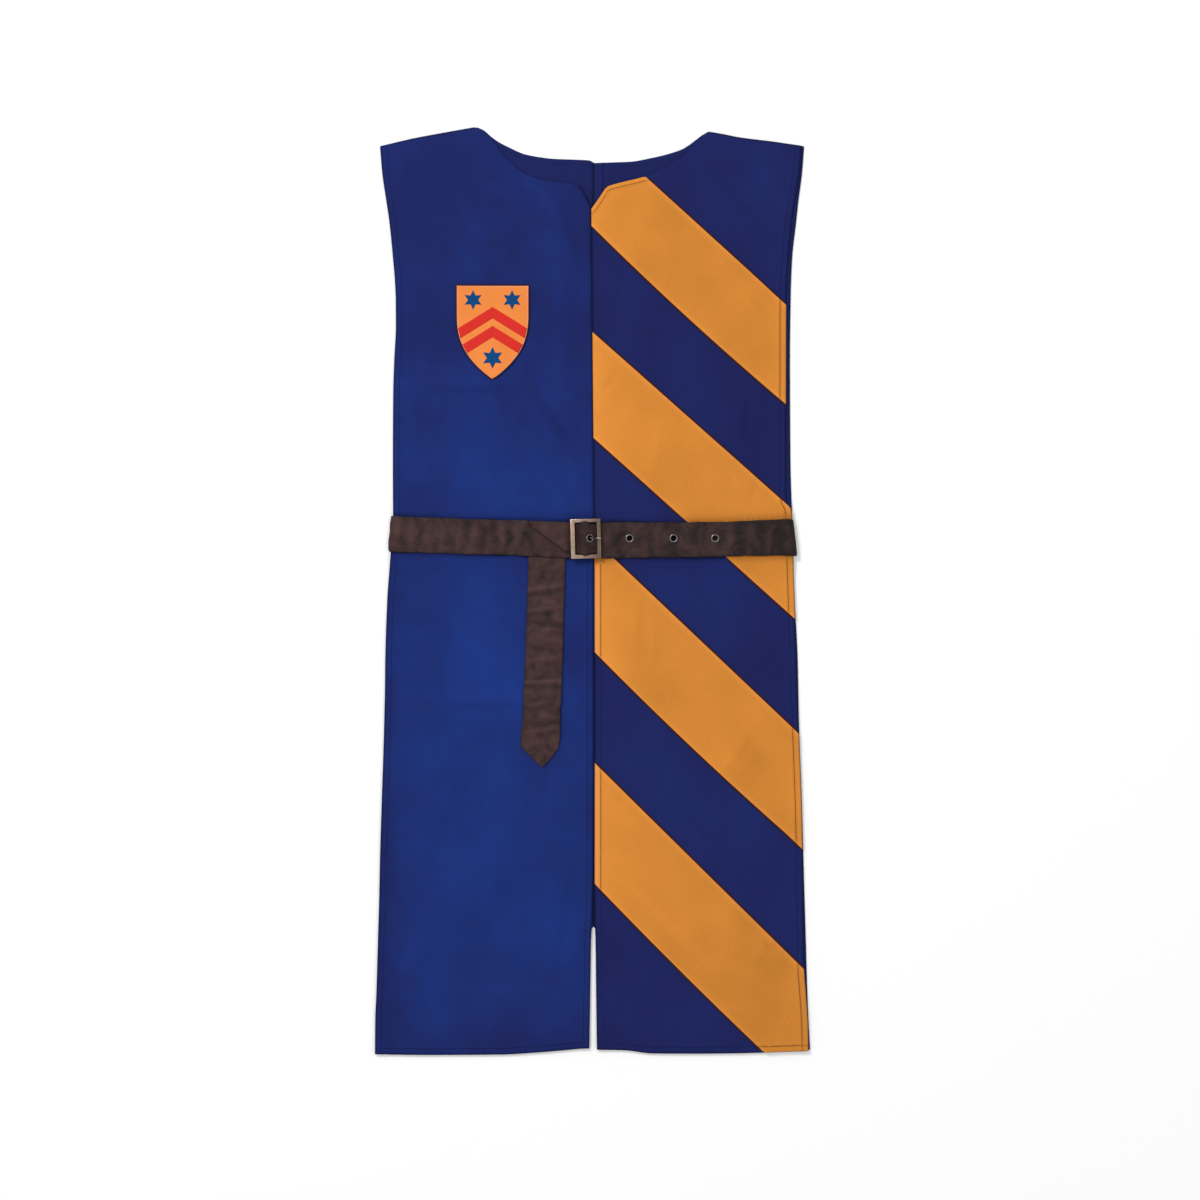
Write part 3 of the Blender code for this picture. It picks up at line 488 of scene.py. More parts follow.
# A closed wall between two grids of points; isOpen tells which cells are holes, marks are grids of numbers
def wallMesh(name, under, over, isOpen=None, marks=None):
    rowCount, columnCount = len(under), len(under[0])
    verts = [p for row in under for p in row] + [p for row in over for p in row]
    half = rowCount * columnCount
    faces = []

    def kept(i, j):
        return 0 <= i < rowCount - 1 and 0 <= j < columnCount - 1 and not (isOpen and isOpen(i, j))

    for i in range(rowCount - 1):
        for j in range(columnCount - 1):
            if not kept(i, j):
                continue
            a, b = i * columnCount + j, i * columnCount + j + 1
            c, d = b + columnCount, a + columnCount
            faces.append((a, d, c, b))
            faces.append((a + half, b + half, c + half, d + half))
            sides = ((i - 1, j, a, b), (i, j + 1, b, c), (i + 1, j, c, d), (i, j - 1, d, a))
            for besideI, besideJ, p, q in sides:
                if not kept(besideI, besideJ):
                    faces.append((p, q, q + half, p + half))
    used = sorted({v for face in faces for v in face})
    place = {v: k for k, v in enumerate(used)}
    faces = [tuple(place[v] for v in face) for face in faces]
    lists = {}
    for key, grid in (marks or {}).items():
        flat = [value for row in grid for value in row] * 2
        lists[key] = [flat[v] for v in used]
    return finishMesh(name, [verts[v] for v in used], faces, lists)


def ownPiece(piece, slotName, material, *nodes):
    piece.data.materials.clear()
    piece.data.materials.append(material)
    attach(piece, "root")
    if nodes:
        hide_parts(*nodes)
    return piece


# Materials


def newMaterial(name, color, roughness, inputs=None):
    material = bpy.data.materials.new(name)
    material.use_nodes = True
    tree = material.node_tree
    shader = tree.nodes["Principled BSDF"]
    shader.inputs["Base Color"].default_value = (*color, 1)
    shader.inputs["Roughness"].default_value = roughness
    for key, value in (inputs or {}).items():
        shader.inputs[key].default_value = value
    return material, tree, shader


def addNode(tree, kind, **values):
    node = tree.nodes.new(kind)
    for key, value in values.items():
        if key in node.inputs:
            node.inputs[key].default_value = value
        else:
            setattr(node, key, value)
    return node


def placed(tree, scale=(1, 1, 1), turn=(0, 0, 0)):
    where = addNode(tree, "ShaderNodeTexCoord")
    mapping = addNode(tree, "ShaderNodeMapping", Scale=scale, Rotation=turn)
    tree.links.new(where.outputs["Object"], mapping.inputs["Vector"])
    return mapping.outputs["Vector"]


def noiseOf(tree, vector, scale, detail=3.0, roughness=0.55, distortion=0.0):
    values = {"Scale": scale, "Detail": detail, "Roughness": roughness, "Distortion": distortion}
    node = addNode(tree, "ShaderNodeTexNoise", **values)
    tree.links.new(vector, node.inputs["Vector"])
    return node.outputs["Fac"]


def waveOf(tree, vector, detailScale=1.0, **values):
    node = addNode(tree, "ShaderNodeTexWave", **values)
    node.inputs["Detail Scale"].default_value = detailScale
    tree.links.new(vector, node.inputs["Vector"])
    return node.outputs["Fac"]


def ramp(tree, value, low, high, lowColor, highColor):
    node = addNode(tree, "ShaderNodeValToRGB")
    node.color_ramp.elements[0].position, node.color_ramp.elements[1].position = low, high
    node.color_ramp.elements[0].color = (*lowColor, 1)
    node.color_ramp.elements[1].color = (*highColor, 1)
    tree.links.new(value, node.inputs["Fac"])
    return node.outputs["Color"]


def mixColors(tree, share, first, second, kind="MIX"):
    node = addNode(tree, "ShaderNodeMix", data_type="RGBA", blend_type=kind)
    if isinstance(share, float):
        node.inputs[0].default_value = share
    else:
        tree.links.new(share, node.inputs[0])
    tree.links.new(first, node.inputs[6])
    tree.links.new(second, node.inputs[7])
    return node.outputs[2]


def mathOf(tree, operation, first, second):
    node = addNode(tree, "ShaderNodeMath", operation=operation)
    for k, value in enumerate((first, second)):
        if isinstance(value, (int, float)):
            node.inputs[k].default_value = value
        else:
            tree.links.new(value, node.inputs[k])
    return node.outputs[0]


def bumped(tree, shader, height, strength, distance, before=None):
    node = addNode(tree, "ShaderNodeBump", Strength=strength, Distance=distance)
    tree.links.new(height, node.inputs["Height"])
    if before:
        tree.links.new(before, node.inputs["Normal"])
    tree.links.new(node.outputs["Normal"], shader.inputs["Normal"])
    return node.outputs["Normal"]


def scaled(color, factor):
    return tuple(part * factor for part in color)


def grey(level):
    return (level, level, level)


def attributeOf(tree, name):
    return addNode(tree, "ShaderNodeAttribute", attribute_name=name).outputs["Fac"]


def dimmed(tree, color, factor):
    node = addNode(tree, "ShaderNodeVectorMath", operation="SCALE")
    tree.links.new(color, node.inputs[0])
    tree.links.new(factor, node.inputs["Scale"])
    return node.outputs[0]


def toneWith(tree, value, amount):  # the tone attribute, moved up and down by a noise
    drift = mathOf(tree, "MULTIPLY", mathOf(tree, "SUBTRACT", value, 0.5), amount)
    return mathOf(tree, "ADD", attributeOf(tree, "tone"), drift)


# Woven cloth: the tone attribute runs through the colours and the shade attribute darkens them
def clothMaterial(name, colors, sheen, weave):
    material, tree, shader = newMaterial(name, colors[-1], 0.9, {
        "Sheen Weight": sheen, "Sheen Roughness": 0.4, "Specular IOR Level": 0.12,
        "Sheen Tint": (*[min(1.0, part * 2 + 0.05) for part in colors[-1]], 1),
    })
    where = placed(tree)
    tone = addNode(tree, "ShaderNodeValToRGB")
    tone.color_ramp.elements[0].color = (*colors[0], 1)
    tone.color_ramp.elements[1].color = (*colors[-1], 1)
    if len(colors) == 3:
        tone.color_ramp.elements.new(0.5).color = (*colors[1], 1)
    tree.links.new(toneWith(tree, noiseOf(tree, where, 16.0, 4.0, 0.6), 0.3), tone.inputs["Fac"])
    fibres = noiseOf(tree, placed(tree, (1, 0.4, 1)), 900.0, 2.0, 0.7)
    flecks = ramp(tree, fibres, 0.3, 0.75, grey(0.94), grey(1.04))
    color = mixColors(tree, 1.0, tone.outputs["Color"], flecks, "MULTIPLY")
    tree.links.new(dimmed(tree, color, attributeOf(tree, "shade")), shader.inputs["Base Color"])
    threads = [
        waveOf(tree, where, 1.5, Scale=weave, Distortion=1.2, Detail=2.0, bands_direction=direction)
        for direction in ("X", "Y")
    ]
    normal = bumped(tree, shader, mathOf(tree, "MAXIMUM", *threads), 0.3, 0.00012)
    fuzz = noiseOf(tree, where, 420.0, 3.0, 0.65)
    normal = bumped(tree, shader, fuzz, 0.1, 0.0002, normal)
    crumple = noiseOf(tree, where, 40.0, 3.0, 0.5)
    bumped(tree, shader, crumple, 0.2, 0.0012, normal)
    return material


def threadMaterial(name, color):
    material, tree, shader = newMaterial(name, color, 0.6, {"Specular IOR Level": 0.1})
    twist = waveOf(tree, placed(tree), Scale=900.0, bands_direction="DIAGONAL")
    turns = ramp(tree, twist, 0.2, 0.8, scaled(color, 0.7), scaled(color, 1.2))
    tree.links.new(turns, shader.inputs["Base Color"])
    bumped(tree, shader, twist, 0.4, 0.0001)
    return material


# Imitation leather: the tone attribute paints light on the ridges and shade in the creases
def strapMaterial(name, dark, light):
    material, tree, shader = newMaterial(name, light, 0.6, {"Specular IOR Level": 0.26})
    where = placed(tree)
    broad = noiseOf(tree, where, 55.0, 4.0, 0.6, 1.6)
    base = ramp(tree, toneWith(tree, broad, 1.4), 0.0, 1.0, dark, light)
    grain = addNode(tree, "ShaderNodeTexVoronoi", Scale=620.0, feature="DISTANCE_TO_EDGE")
    tree.links.new(where, grain.inputs["Vector"])
    cells = ramp(tree, grain.outputs["Distance"], 0.0, 0.12, grey(0.78), grey(1))
    tree.links.new(mixColors(tree, 0.6, base, cells, "MULTIPLY"), shader.inputs["Base Color"])
    tree.links.new(ramp(tree, broad, 0.3, 0.75, grey(0.66), grey(0.5)), shader.inputs["Roughness"])
    normal = bumped(tree, shader, grain.outputs["Distance"], 0.3, 0.00015)
    creased = noiseOf(tree, where, 95.0, 4.0, 0.6, 1.4)
    bumped(tree, shader, creased, 0.5, 0.0012, normal)
    return material


# Worn metal, brighter on its edges; the last argument paints shade along x: the x where it starts to darken,
# the x where that ends and the factor there
def metalMaterial(name, dark, light, roughness, wearScale, paintedShadeX=None):
    material, tree, shader = newMaterial(name, light, roughness, {"Metallic": 1.0})
    where = placed(tree)
    wear = noiseOf(tree, where, wearScale, 5.0, 0.65)
    geometry = addNode(tree, "ShaderNodeNewGeometry")
    edge = ramp(tree, geometry.outputs["Pointiness"], 0.47, 0.56, grey(0), grey(1))
    worn = mixColors(tree, 0.5, ramp(tree, wear, 0.35, 0.65, grey(0), grey(1)), edge)
    color = ramp(tree, worn, 0.0, 1.0, dark, light)
    if paintedShadeX:
        start, end, factor = paintedShadeX
        apart = addNode(tree, "ShaderNodeSeparateXYZ")
        tree.links.new(where, apart.inputs[0])
        share = addNode(tree, "ShaderNodeMapRange", **{
            "From Min": start * mm, "From Max": end * mm, "To Min": 1.0, "To Max": factor,
        })
        tree.links.new(apart.outputs["X"], share.inputs["Value"])
        color = dimmed(tree, color, share.outputs[0])
    tree.links.new(color, shader.inputs["Base Color"])
    rough = ramp(tree, wear, 0.3, 0.7, grey(roughness + 0.12), grey(roughness - 0.06))
    tree.links.new(rough, shader.inputs["Roughness"])
    bumped(tree, shader, noiseOf(tree, where, 700.0, 2.0), 0.15, 0.0001)
    return material


weave = {"coat": 260.0, "patch": 420.0}  # threads of the bump for each metre of cloth
# The blue cloths are one cloth: the right front has darker colours as painted shade, and the back, seen only
# in shadow, darker still
blueLeft = clothMaterial(
    "blueClothLeft", ((0.0100, 0.0170, 0.110), (0.0095, 0.0345, 0.212)), 0.05, weave["coat"])
blueRight = clothMaterial(
    "blueClothRight", ((0.0106, 0.0140, 0.090), (0.0108, 0.0210, 0.132)), 0.05, weave["coat"])
blueBack = clothMaterial(
    "blueClothBack", ((0.0098, 0.0138, 0.086), (0.0095, 0.02, 0.12)), 0.05, weave["coat"])
yellowCloth = clothMaterial(
    "yellowCloth", ((0.61, 0.222, 0.032), (0.79, 0.285, 0.045), (0.8, 0.325, 0.105)), 0.04, weave["coat"])
# The patch ground's lightest colour is the painted highlight inside its edge
patchGround = clothMaterial(
    "patchGround", ((0.80, 0.235, 0.05), (0.86, 0.26, 0.06), (0.86, 0.38, 0.22)), 0.03, weave["patch"])
patchRed = threadMaterial("patchRedThread", (0.70, 0.028, 0.02))
patchBlue = threadMaterial("patchBlueThread", (0.0015, 0.06, 0.2))
patchBorder = threadMaterial("patchBorderThread", (0.045, 0.010, 0.020))
navyThread = threadMaterial("navyThread", (0.008, 0.012, 0.07))
brownThread = threadMaterial("brownThread", (0.10, 0.03, 0.012))
edgingAndShadowThread = threadMaterial("edgingAndShadowThread", (0.045, 0.012, 0.03))
yellowThread = threadMaterial("yellowThread", (0.68, 0.27, 0.06))
strapSkin = strapMaterial("strapSkin", (0.0095, 0.0025, 0.003), (0.065, 0.028, 0.0255))
# The buckle is painted darker towards its right side, as shade
agedBrass = metalMaterial(
    "agedBrass", (0.28, 0.195, 0.14), (0.86, 0.64, 0.49), 0.34, 160.0, (-20.0, 6.0, 0.38))
nickel = metalMaterial("nickel", (0.07, 0.066, 0.066), (0.29, 0.275, 0.265), 0.34, 240.0)
# The prong is painted dark as shade, all but its tip
prongSteel = metalMaterial("prongSteel", (0.2, 0.2, 0.2), (0.7, 0.7, 0.68), 0.3, 240.0, (5.0, 2.5, 0.12))
print("materials ready")

# Coat panels


def wallsOf(grid, layersAt):  # under and over grids from the two heights at each x, y
    under, over = [], []
    for row in grid:
        pairs = [layersAt(x, y) for x, y in row]
        under.append([(x, y, low) for (x, y), (low, _) in zip(row, pairs)])
        over.append([(x, y, high) for (x, y), (_, high) in zip(row, pairs)])
    return under, over


def makeCloth(name, step, layers, material):
    panel = panels[name]
    grid = gridOf(panel, step)
    under, over = wallsOf(grid, lambda x, y: layers(panel, x, y))
    marks = {
        "tone": [[clothTone(x, y) for x, y in row] for row in grid],
        "shade": [[clothShade(panel, x, y) for x, y in row] for row in grid],
    }
    piece = wallMesh("coat_" + name, under, over, marks=marks)
    return ownPiece(piece, "blue_cloth", material, name)


step = 3.6
backStep = 6.0
coatBackLeft = makeCloth("back_left", backStep, backLayers, blueBack)
coatBackRight = makeCloth("back_right", backStep, backLayers, blueBack)
coatFrontLeft = makeCloth("front_left", step, frontLayers, blueLeft)
coatFrontRight = makeCloth("front_right", step, frontLayers, blueRight)
print("coat panels made")

# Diagonal stripes: each edge as height on the seam line and slope, then how far the lower edge hangs out

stripeRow = namedtuple("stripeRow", "highY highSlope lowY lowSlope bow")
stripes = {
    "stripe_1": stripeRow(461.6, -0.912, 362.4, -0.918, 3.7),
    "stripe_2": stripeRow(257.9, -0.887, 152.2, -0.899, 0.0),
    "stripe_3": stripeRow(51.8, -0.948, -60.7, -0.950, 3.3),
    "stripe_4": stripeRow(-170.9, -0.986, -292.3, -0.992, 2.5),
}
stripeEdge = {
    "rimWidth": 7.5, "rimRise": 0.4, "stitchIn": 1.9, "groove": 0.3, "middleX": 95.0, "bowHalf": 97.0,
    "depth": 78.0, "across": 205, "cutAcross": 208,
}
acrossEdge = (0, 0.35, 0.8, 1.4, 1.9, 2.4, 3.2, 4.0, 4.4, 4.8, 5.6, 6.6, 7.4, 8.2, 9.4)
besideEdge = (0, 0.4, 1.0, 2.0, 4.0, 5.4, 5.9, 6.2, 6.5, 7.2, 8.4, 11.0)


def upperEdge(name, x):
    return stripes[name].highY + stripes[name].highSlope * x


def lowerEdge(name, x):
    row = stripes[name]
    hang = max(0.0, 1 - ((x - stripeEdge["middleX"]) / stripeEdge["bowHalf"]) ** 2)
    return row.lowY + row.lowSlope * x - row.bow * hang


def leanOf(name):  # length along a slanting edge for each millimetre across
    return math.sqrt(1 + stripes[name].highSlope ** 2)


# Height of a stripe over the panel and distance inside its edges, or nothing off the stripe
def stripeRise(name, x, y):
    nearest = min(upperEdge(name, x) - y, y - lowerEdge(name, x)) / leanOf(name)
    if nearest < -0.01:
        return None
    rim = stripeEdge["rimRise"] * (1 - ease((nearest - stripeEdge["rimWidth"] + 0.8) / 1.6))
    groove = stripeEdge["groove"] * bell(nearest - stripeEdge["stitchIn"], 0.5)
    ripple = 0.22 * noiseAt((x - y) / 11, nearest / 14, 6.1) * bell(nearest - 4, 6)
    return coat["stripe"] + rim - groove + ripple, nearest


# Darker spots on the yellow, a small dirt mark and painted shade: middle x and y, radius, how much darker
dirtAndShadeSpots = (
    (90, 370, 120, 0.05), (172, -354, 2.4, 0.28), (166, -371, 9, 0.05),
    (178, -405, 60, 0.09), (148, 250, 12, 0.05), (160, 236, 9, 0.05),
    (20, 182, 8, 0.06), (160, -168, 9, 0.06), (118, 60, 9, 0.05), (60, -110, 14, 0.04),
)


# Tone rises where the edges are turned under and beside the seam; the shade factor paints shade on the lips
# and along the stitched lines, a highlight just inside the stripe's edge, and light and shade on the creases
def stripeMarks(name, x, y):
    nearest = (stripeRise(name, x, y) or (0, 0.0))[1]
    near = distances(rightPanel, x, y)
    top = near["top"] * coat["neckHem"]
    skirt, neckline = belowBelt(y), onNeck(rightPanel, x)
    tone = 0.06 + 0.2 * bell(nearest, 4) + 0.3 * math.exp(-max(near["centre"] - 6, 0) / 22)
    tone += 0.14 * noiseAt(x / 30, y / 34, 6.6) + 0.1 * math.exp(-max(near["side"], 0) / 9)
    slitHem = skirt * (1 - ease((near["centre"] - coat["stitchIn"] + 1.5) / 2.5)) * 0.75
    neckHem = neckline * (1 - ease((top - coat["stitchIn"]) / 1.5)) * 0.3
    tone = max(tone, slitHem, neckHem)
    shade = 1 - 0.75 * math.exp(-((nearest / 0.5) ** 2)) + 0.14 * bell(nearest - 1.5, 0.8)
    rows = ((near["side"], 1.0), (near["hem"], 1.0), (top, neckline), (near["centre"], skirt))
    for distance, amount in rows:
        shade *= 1 - amount * (0.3 * bell(distance - coat["stitchIn"], 0.9) + 0.35 * bell(distance, 0.7))
    shade *= 1 + 0.07 * rowHeight(creaseRows, x, y)
    for markX, markY, size, amount in dirtAndShadeSpots:
        shade *= 1 - amount * bell(math.hypot(x - markX, y - markY), size)
    return min(max(tone, 0.0), 1.0), shade * beltShade(x, y, 0.3, 4.5)


def stripeLayers(name, x, y):
    base = frontLayers(rightPanel, x, y)[1] + coat["lie"]
    rise, nearest = stripeRise(name, x, y) or (coat["stripe"], 0.0)
    near = distances(rightPanel, x, y)
    border = min(near["side"], near["hem"], max(near["top"], 0.0), near["centre"])
    full = min(lipShare(nearest * 1.3), lipShare(border * 1.3))
    return base, base + rise * full


def stripeGrid(name):
    cell = 3.2
    columnCount = int(stripeEdge["across"] / cell)
    middle = int((stripeEdge["depth"] - 2 * acrossEdge[-1]) / cell)
    columns = [("centre", d) for d in besideEdge]
    columns += [("inner", k / columnCount) for k in range(1, columnCount)]
    columns += [("side", d) for d in reversed(besideEdge)]
    rows = [("low", d) for d in acrossEdge] + [("middle", k / middle) for k in range(1, middle)]
    rows += [("high", d) for d in reversed(acrossEdge)]

    def acrossAt(kind, value, y):
        centre, side = rightPanel["centre"](y), rightPanel["side"](y)
        if kind == "centre":
            return centre + value
        if kind == "side":
            return side - value
        return blend(centre + besideEdge[-1], side - besideEdge[-1], value)

    def upAt(kind, value, x):
        low = max(lowerEdge(name, x), rightPanel["hem"](x) + 0.4)
        high = min(upperEdge(name, x), rightPanel["top"](x) - 0.3)
        inset = min(acrossEdge[-1] * leanOf(name), (high - low) * 0.45)
        if kind == "low":
            return low + value / acrossEdge[-1] * inset
        if kind == "high":
            return high - value / acrossEdge[-1] * inset
        return blend(low + inset, high - inset, value)

    grid = []
    middleX = stripeEdge["middleX"]
    for rowKind, rowValue in rows:
        row = []
        for columnKind, columnValue in columns:
            y = (upperEdge(name, middleX) + lowerEdge(name, middleX)) / 2
            for _ in range(8):  # x and y depend on each other, so they are found by steps
                x = acrossAt(columnKind, columnValue, y)
                y = upAt(rowKind, rowValue, x)
            row.append((x, y))
        grid.append(row)
    return grid


def makeStripe(name):
    grid = stripeGrid(name)
    under, over = wallsOf(grid, lambda x, y: stripeLayers(name, x, y))
    found = [[stripeMarks(name, x, y) for x, y in row] for row in grid]
    marks = {key: [[pair[k] for pair in row] for row in found] for k, key in enumerate(("tone", "shade"))}
    piece = ownPiece(wallMesh("cloth_" + name, under, over, marks=marks), "yellow_cloth", yellowCloth, name)
    # both ends are cut off upright
    return piece


for name in stripes:
    makeStripe(name)
print("stripes made")

# Shield patch: an orange ground with two red chevrons and three blue stars

shield = {
    "x": -100.4, "topY": 305.2, "tipY": 209.6, "half": 36.8, "straight": 28.0, "power": 2.6,
    "thick": 0.8, "motifRise": 0.28, "borderRadius": 0.7, "borderIn": 0.4, "motifIn": 1.4,
    "chevronTops": (283.0, 264.0), "chevronWidth": 11.5, "chevronSlope": -0.62, "halvesApart": 0.06,
    "stars": ((-19.5, 290.0, 9.8), (19.5, 290.0, 9.8), (0.0, 232.0, 11.0)), "starWaist": 0.52,
}
# Rings of satin stitching from the outline to its middle: share of the outline, and height for a rise of 0.3
satinRings = ((1.0, -0.2), (1.0, 0.1), (0.94, 0.24), (0.8, 0.3), (0.45, 0.32))


def shieldHalf(y):
    bendY = shield["topY"] - shield["straight"]
    fall = (bendY - y) / (bendY - shield["tipY"])
    return shield["half"] * (1 - max(0.0, min(fall, 1.0)) ** shield["power"])


def shieldLayers(x, y):
    base = frontLayers(leftPanel, x, y)[1] + coat["lie"]
    return base, base + shield["thick"]


def shieldTop(x, y):
    return shieldLayers(x, y)[1]


def shieldTone(x, y):  # lighter on the ridge inside the edge, a painted highlight
    inside = min(shieldHalf(y) - abs(x - shield["x"]), shield["topY"] - y)
    tone = 0.25 + 0.35 * noiseAt(x / 20, y / 20, 1.9)
    return min(1.0, max(0.0, tone) + 0.8 * bell(inside - 1.3, 0.9))


def makeShield():
    steps = 34
    fromEdge = (0, 0.009, 0.018, 0.028, 0.04, 0.06)
    inner = [blend(0.085, 0.915, k / steps) for k in range(steps + 1)]
    shares = list(fromEdge) + inner + [1 - share for share in reversed(fromEdge)]
    height = shield["topY"] - shield["tipY"] - shield["borderIn"]
    ys = [shield["topY"] - height * share for share in shares]
    grid = [[(shield["x"] + shieldHalf(y) * (2 * share - 1), y) for share in shares] for y in ys]
    under, over = wallsOf(grid, shieldLayers)
    marks = {
        "tone": [[shieldTone(x, y) for x, y in row] for row in grid],
        "shade": [[1.0 for _ in row] for row in grid],
    }
    ground = wallMesh("shield_ground", under, over, marks=marks)
    piece = ownPiece(ground, "patch_cloth", patchGround, "shield_patch")
    return piece


# Raised satin stitching: each outline is filled by rings from its edge to its middle
def motif(name, outlines, material):
    verts, faces = [], []
    for outline in outlines:
        midX = sum(x for x, _ in outline) / len(outline)
        midY = sum(y for _, y in outline) / len(outline)
        start = len(verts)
        count = len(outline)
        for share, rise in satinRings:
            for x, y in outline:
                px, py = blend(midX, x, share), blend(midY, y, share)
                verts.append((px, py, shieldTop(px, py) + rise * shield["motifRise"] / 0.3))
        verts.append((midX, midY, shieldTop(midX, midY) + shield["motifRise"]))
        verts.append((midX, midY, shieldTop(midX, midY) - 0.2))
        for ring in range(len(satinRings) - 1):
            for k in range(count):
                after = (k + 1) % count
                a, b = start + ring * count, start + (ring + 1) * count
                faces.append((a + k, a + after, b + after, b + k))
        last = start + (len(satinRings) - 1) * count
        for k in range(count):
            faces.append((last + k, last + (k + 1) % count, len(verts) - 2))
            faces.append((start + (k + 1) % count, start + k, len(verts) - 1))
    return ownPiece(finishMesh(name, verts, faces), "patch_cloth", material)


def dense(outline, step=1.6):
    points = []
    for (x, y), (nextX, nextY) in zip(outline, outline[1:] + outline[:1]):
        count = max(1, round(math.hypot(nextX - x, nextY - y) / step))
        points += [(blend(x, nextX, k / count), blend(y, nextY, k / count)) for k in range(count)]
    return points


def starOutline(x, y, radius):  # six points
    points = []
    for k in range(12):
        reach = radius if k % 2 == 0 else radius * shield["starWaist"]
        turn = math.pi / 2 + k * math.pi / 6
        points.append((shield["x"] + x + reach * math.cos(turn), y + reach * math.sin(turn)))
    return dense(points, 1.2)


def chevronHalf(sign, top):  # one arm, from the middle to just inside the shield's edge
    slope, width = shield["chevronSlope"], shield["chevronWidth"]
    inner = shield["halvesApart"]

    def lastInside(drop, outer):
        while shieldHalf(top + slope * outer - drop) < outer + shield["motifIn"]:
            outer -= 0.25
        return outer

    outer = lastInside(0, shield["half"] - shield["motifIn"])
    lowOuter = lastInside(width, outer)
    corners = (
        (inner, top), (outer, top + slope * outer),
        (lowOuter, top + slope * lowOuter - width), (inner, top - width),
    )
    return dense([(shield["x"] + sign * x, y) for x, y in corners])


# A round thread through x, y, z points that come back to their start
def closedThread(name, points, radius, sides=6):
    verts, faces = [], []
    count = len(points)
    for k, point in enumerate(points):
        along = (Vector(points[(k + 1) % count]) - Vector(points[(k - 1) % count])).normalized()
        across = along.cross(Vector((0, 0, 1))).normalized()
        up = across.cross(along)
        for side in range(sides):
            turn = 2 * math.pi * side / sides
            verts.append(tuple(Vector(point) + (across * math.cos(turn) + up * math.sin(turn)) * radius))
    for k in range(count):
        start, following = k * sides, ((k + 1) % count) * sides
        for side in range(sides):
            after = (side + 1) % sides
            faces.append((start + side, start + after, following + after, following + side))
    return finishMesh(name, verts, faces)


def makeShieldBorder():
    sideSteps, topSteps, off = 40, 30, shield["borderIn"]
    high, fall = shield["topY"] - off, shield["topY"] - shield["tipY"] - 1.2
    ys = [high - fall * (k / sideSteps) ** 0.9 for k in range(sideSteps + 1)]
    left = [(shield["x"] - max(shieldHalf(y) - off, 0.2), y) for y in ys]
    right = [(2 * shield["x"] - x, y) for x, y in reversed(left[:-1])]
    top = [(shield["x"] + shield["half"] * (1 - 2 * k / topSteps), high) for k in range(1, topSteps)]
    points = [(x, y, shieldTop(x, y) + 0.05) for x, y in left + right + top]
    thread = closedThread("shield_border", points, shield["borderRadius"])
    return ownPiece(thread, "patch_cloth", patchBorder)


makeShield()
chevrons = [chevronHalf(sign, top) for top in shield["chevronTops"] for sign in (-1, 1)]
motif("shield_chevrons", chevrons, patchRed)
motif("shield_stars", [starOutline(*star) for star in shield["stars"]], patchBlue)
makeShieldBorder()
print("shield made")

# Belt: one strap that starts at the buckle, goes round behind the coat and ends in the hanging tail

belt = {
    "thick": 1.2, "gap": 0.3, "onFloor": 0.6, "onCloth": 5.1, "onTail": 6.6, "onBelt": 8.1, "onKnot": 9.6,
    "onStripe": 6.4, "leftTurnX": -202.2, "rightTurnX": 200.5, "backHalf": 190.0,
    "eyeletY": 51.7, "buckledX": -3.5, "buckledSlope": 33.0, "buckledRise": 2.15, "holeRadius": 2.7,
    "foldLeft": (-62.0, 66.0), "foldRight": (-26.0, 39.0), "knotTopY": 66.1, "knotSlope": -0.056,
    "knotX": -44, "knotLeftX": -65.0, "tailEndY": -177.3, "rim": 0.035,
}
# Eyelets of the hole end: x and the height of the strap there; the fourth is on the prong
openEyelets = ((122.0, belt["onStripe"]), (80.5, belt["onCloth"]), (36.5, belt["onCloth"]))
buckle = {
    "x": -7.25, "y": 51.2, "halfWidth": 15.2, "halfHeight": 19.9, "leftBar": 4.6, "rightBar": 4.1,
    "topBar": 3.8, "bottomBar": 4.2, "under": 9.0, "thick": 2.2, "lean": 1.5, "barRadius": 0.85,
    "barZ": 9.95, "prongRadius": 0.75, "prongSides": 10,
}


def arcPoints(midX, midZ, radius, start, end, steps):
    turns = [math.radians(blend(start, end, k / steps)) for k in range(steps + 1)]
    return [(midX + radius * math.cos(turn), midZ + radius * math.sin(turn)) for turn in turns]


def level(z, *xs):
    return [(x, z) for x in xs]


def buckleEndRoute():  # x and height: round the left side, over the tail's fold and round the buckle's bar
    turn = (belt["onCloth"] - belt["onFloor"]) / 2
    reach = buckle["barRadius"] + belt["gap"] + belt["thick"] / 2
    cloth, tail = belt["onCloth"], belt["onTail"]
    route = level(belt["onFloor"], -belt["backHalf"])
    route += arcPoints(belt["leftTurnX"], belt["onFloor"] + turn, turn, 270, 90, 12)
    route += level(cloth, -185, -150, -112, -80) + [(-74, cloth + 0.1), (-67, tail - 0.1)]
    route += level(tail, -62, -45, -26, -18)
    route += [(-15.4, tail + 0.15), (-13.2, tail + 0.6), (-11.4, tail + 1.75)]
    route += arcPoints(buckle["x"], buckle["barZ"], reach, 135, -90, 12)
    route += [(-9.4, cloth + 2.3), (-12.0, cloth + 0.9), (-15.0, cloth + 0.15)]
    return route + level(cloth, -18.0, -25.3)


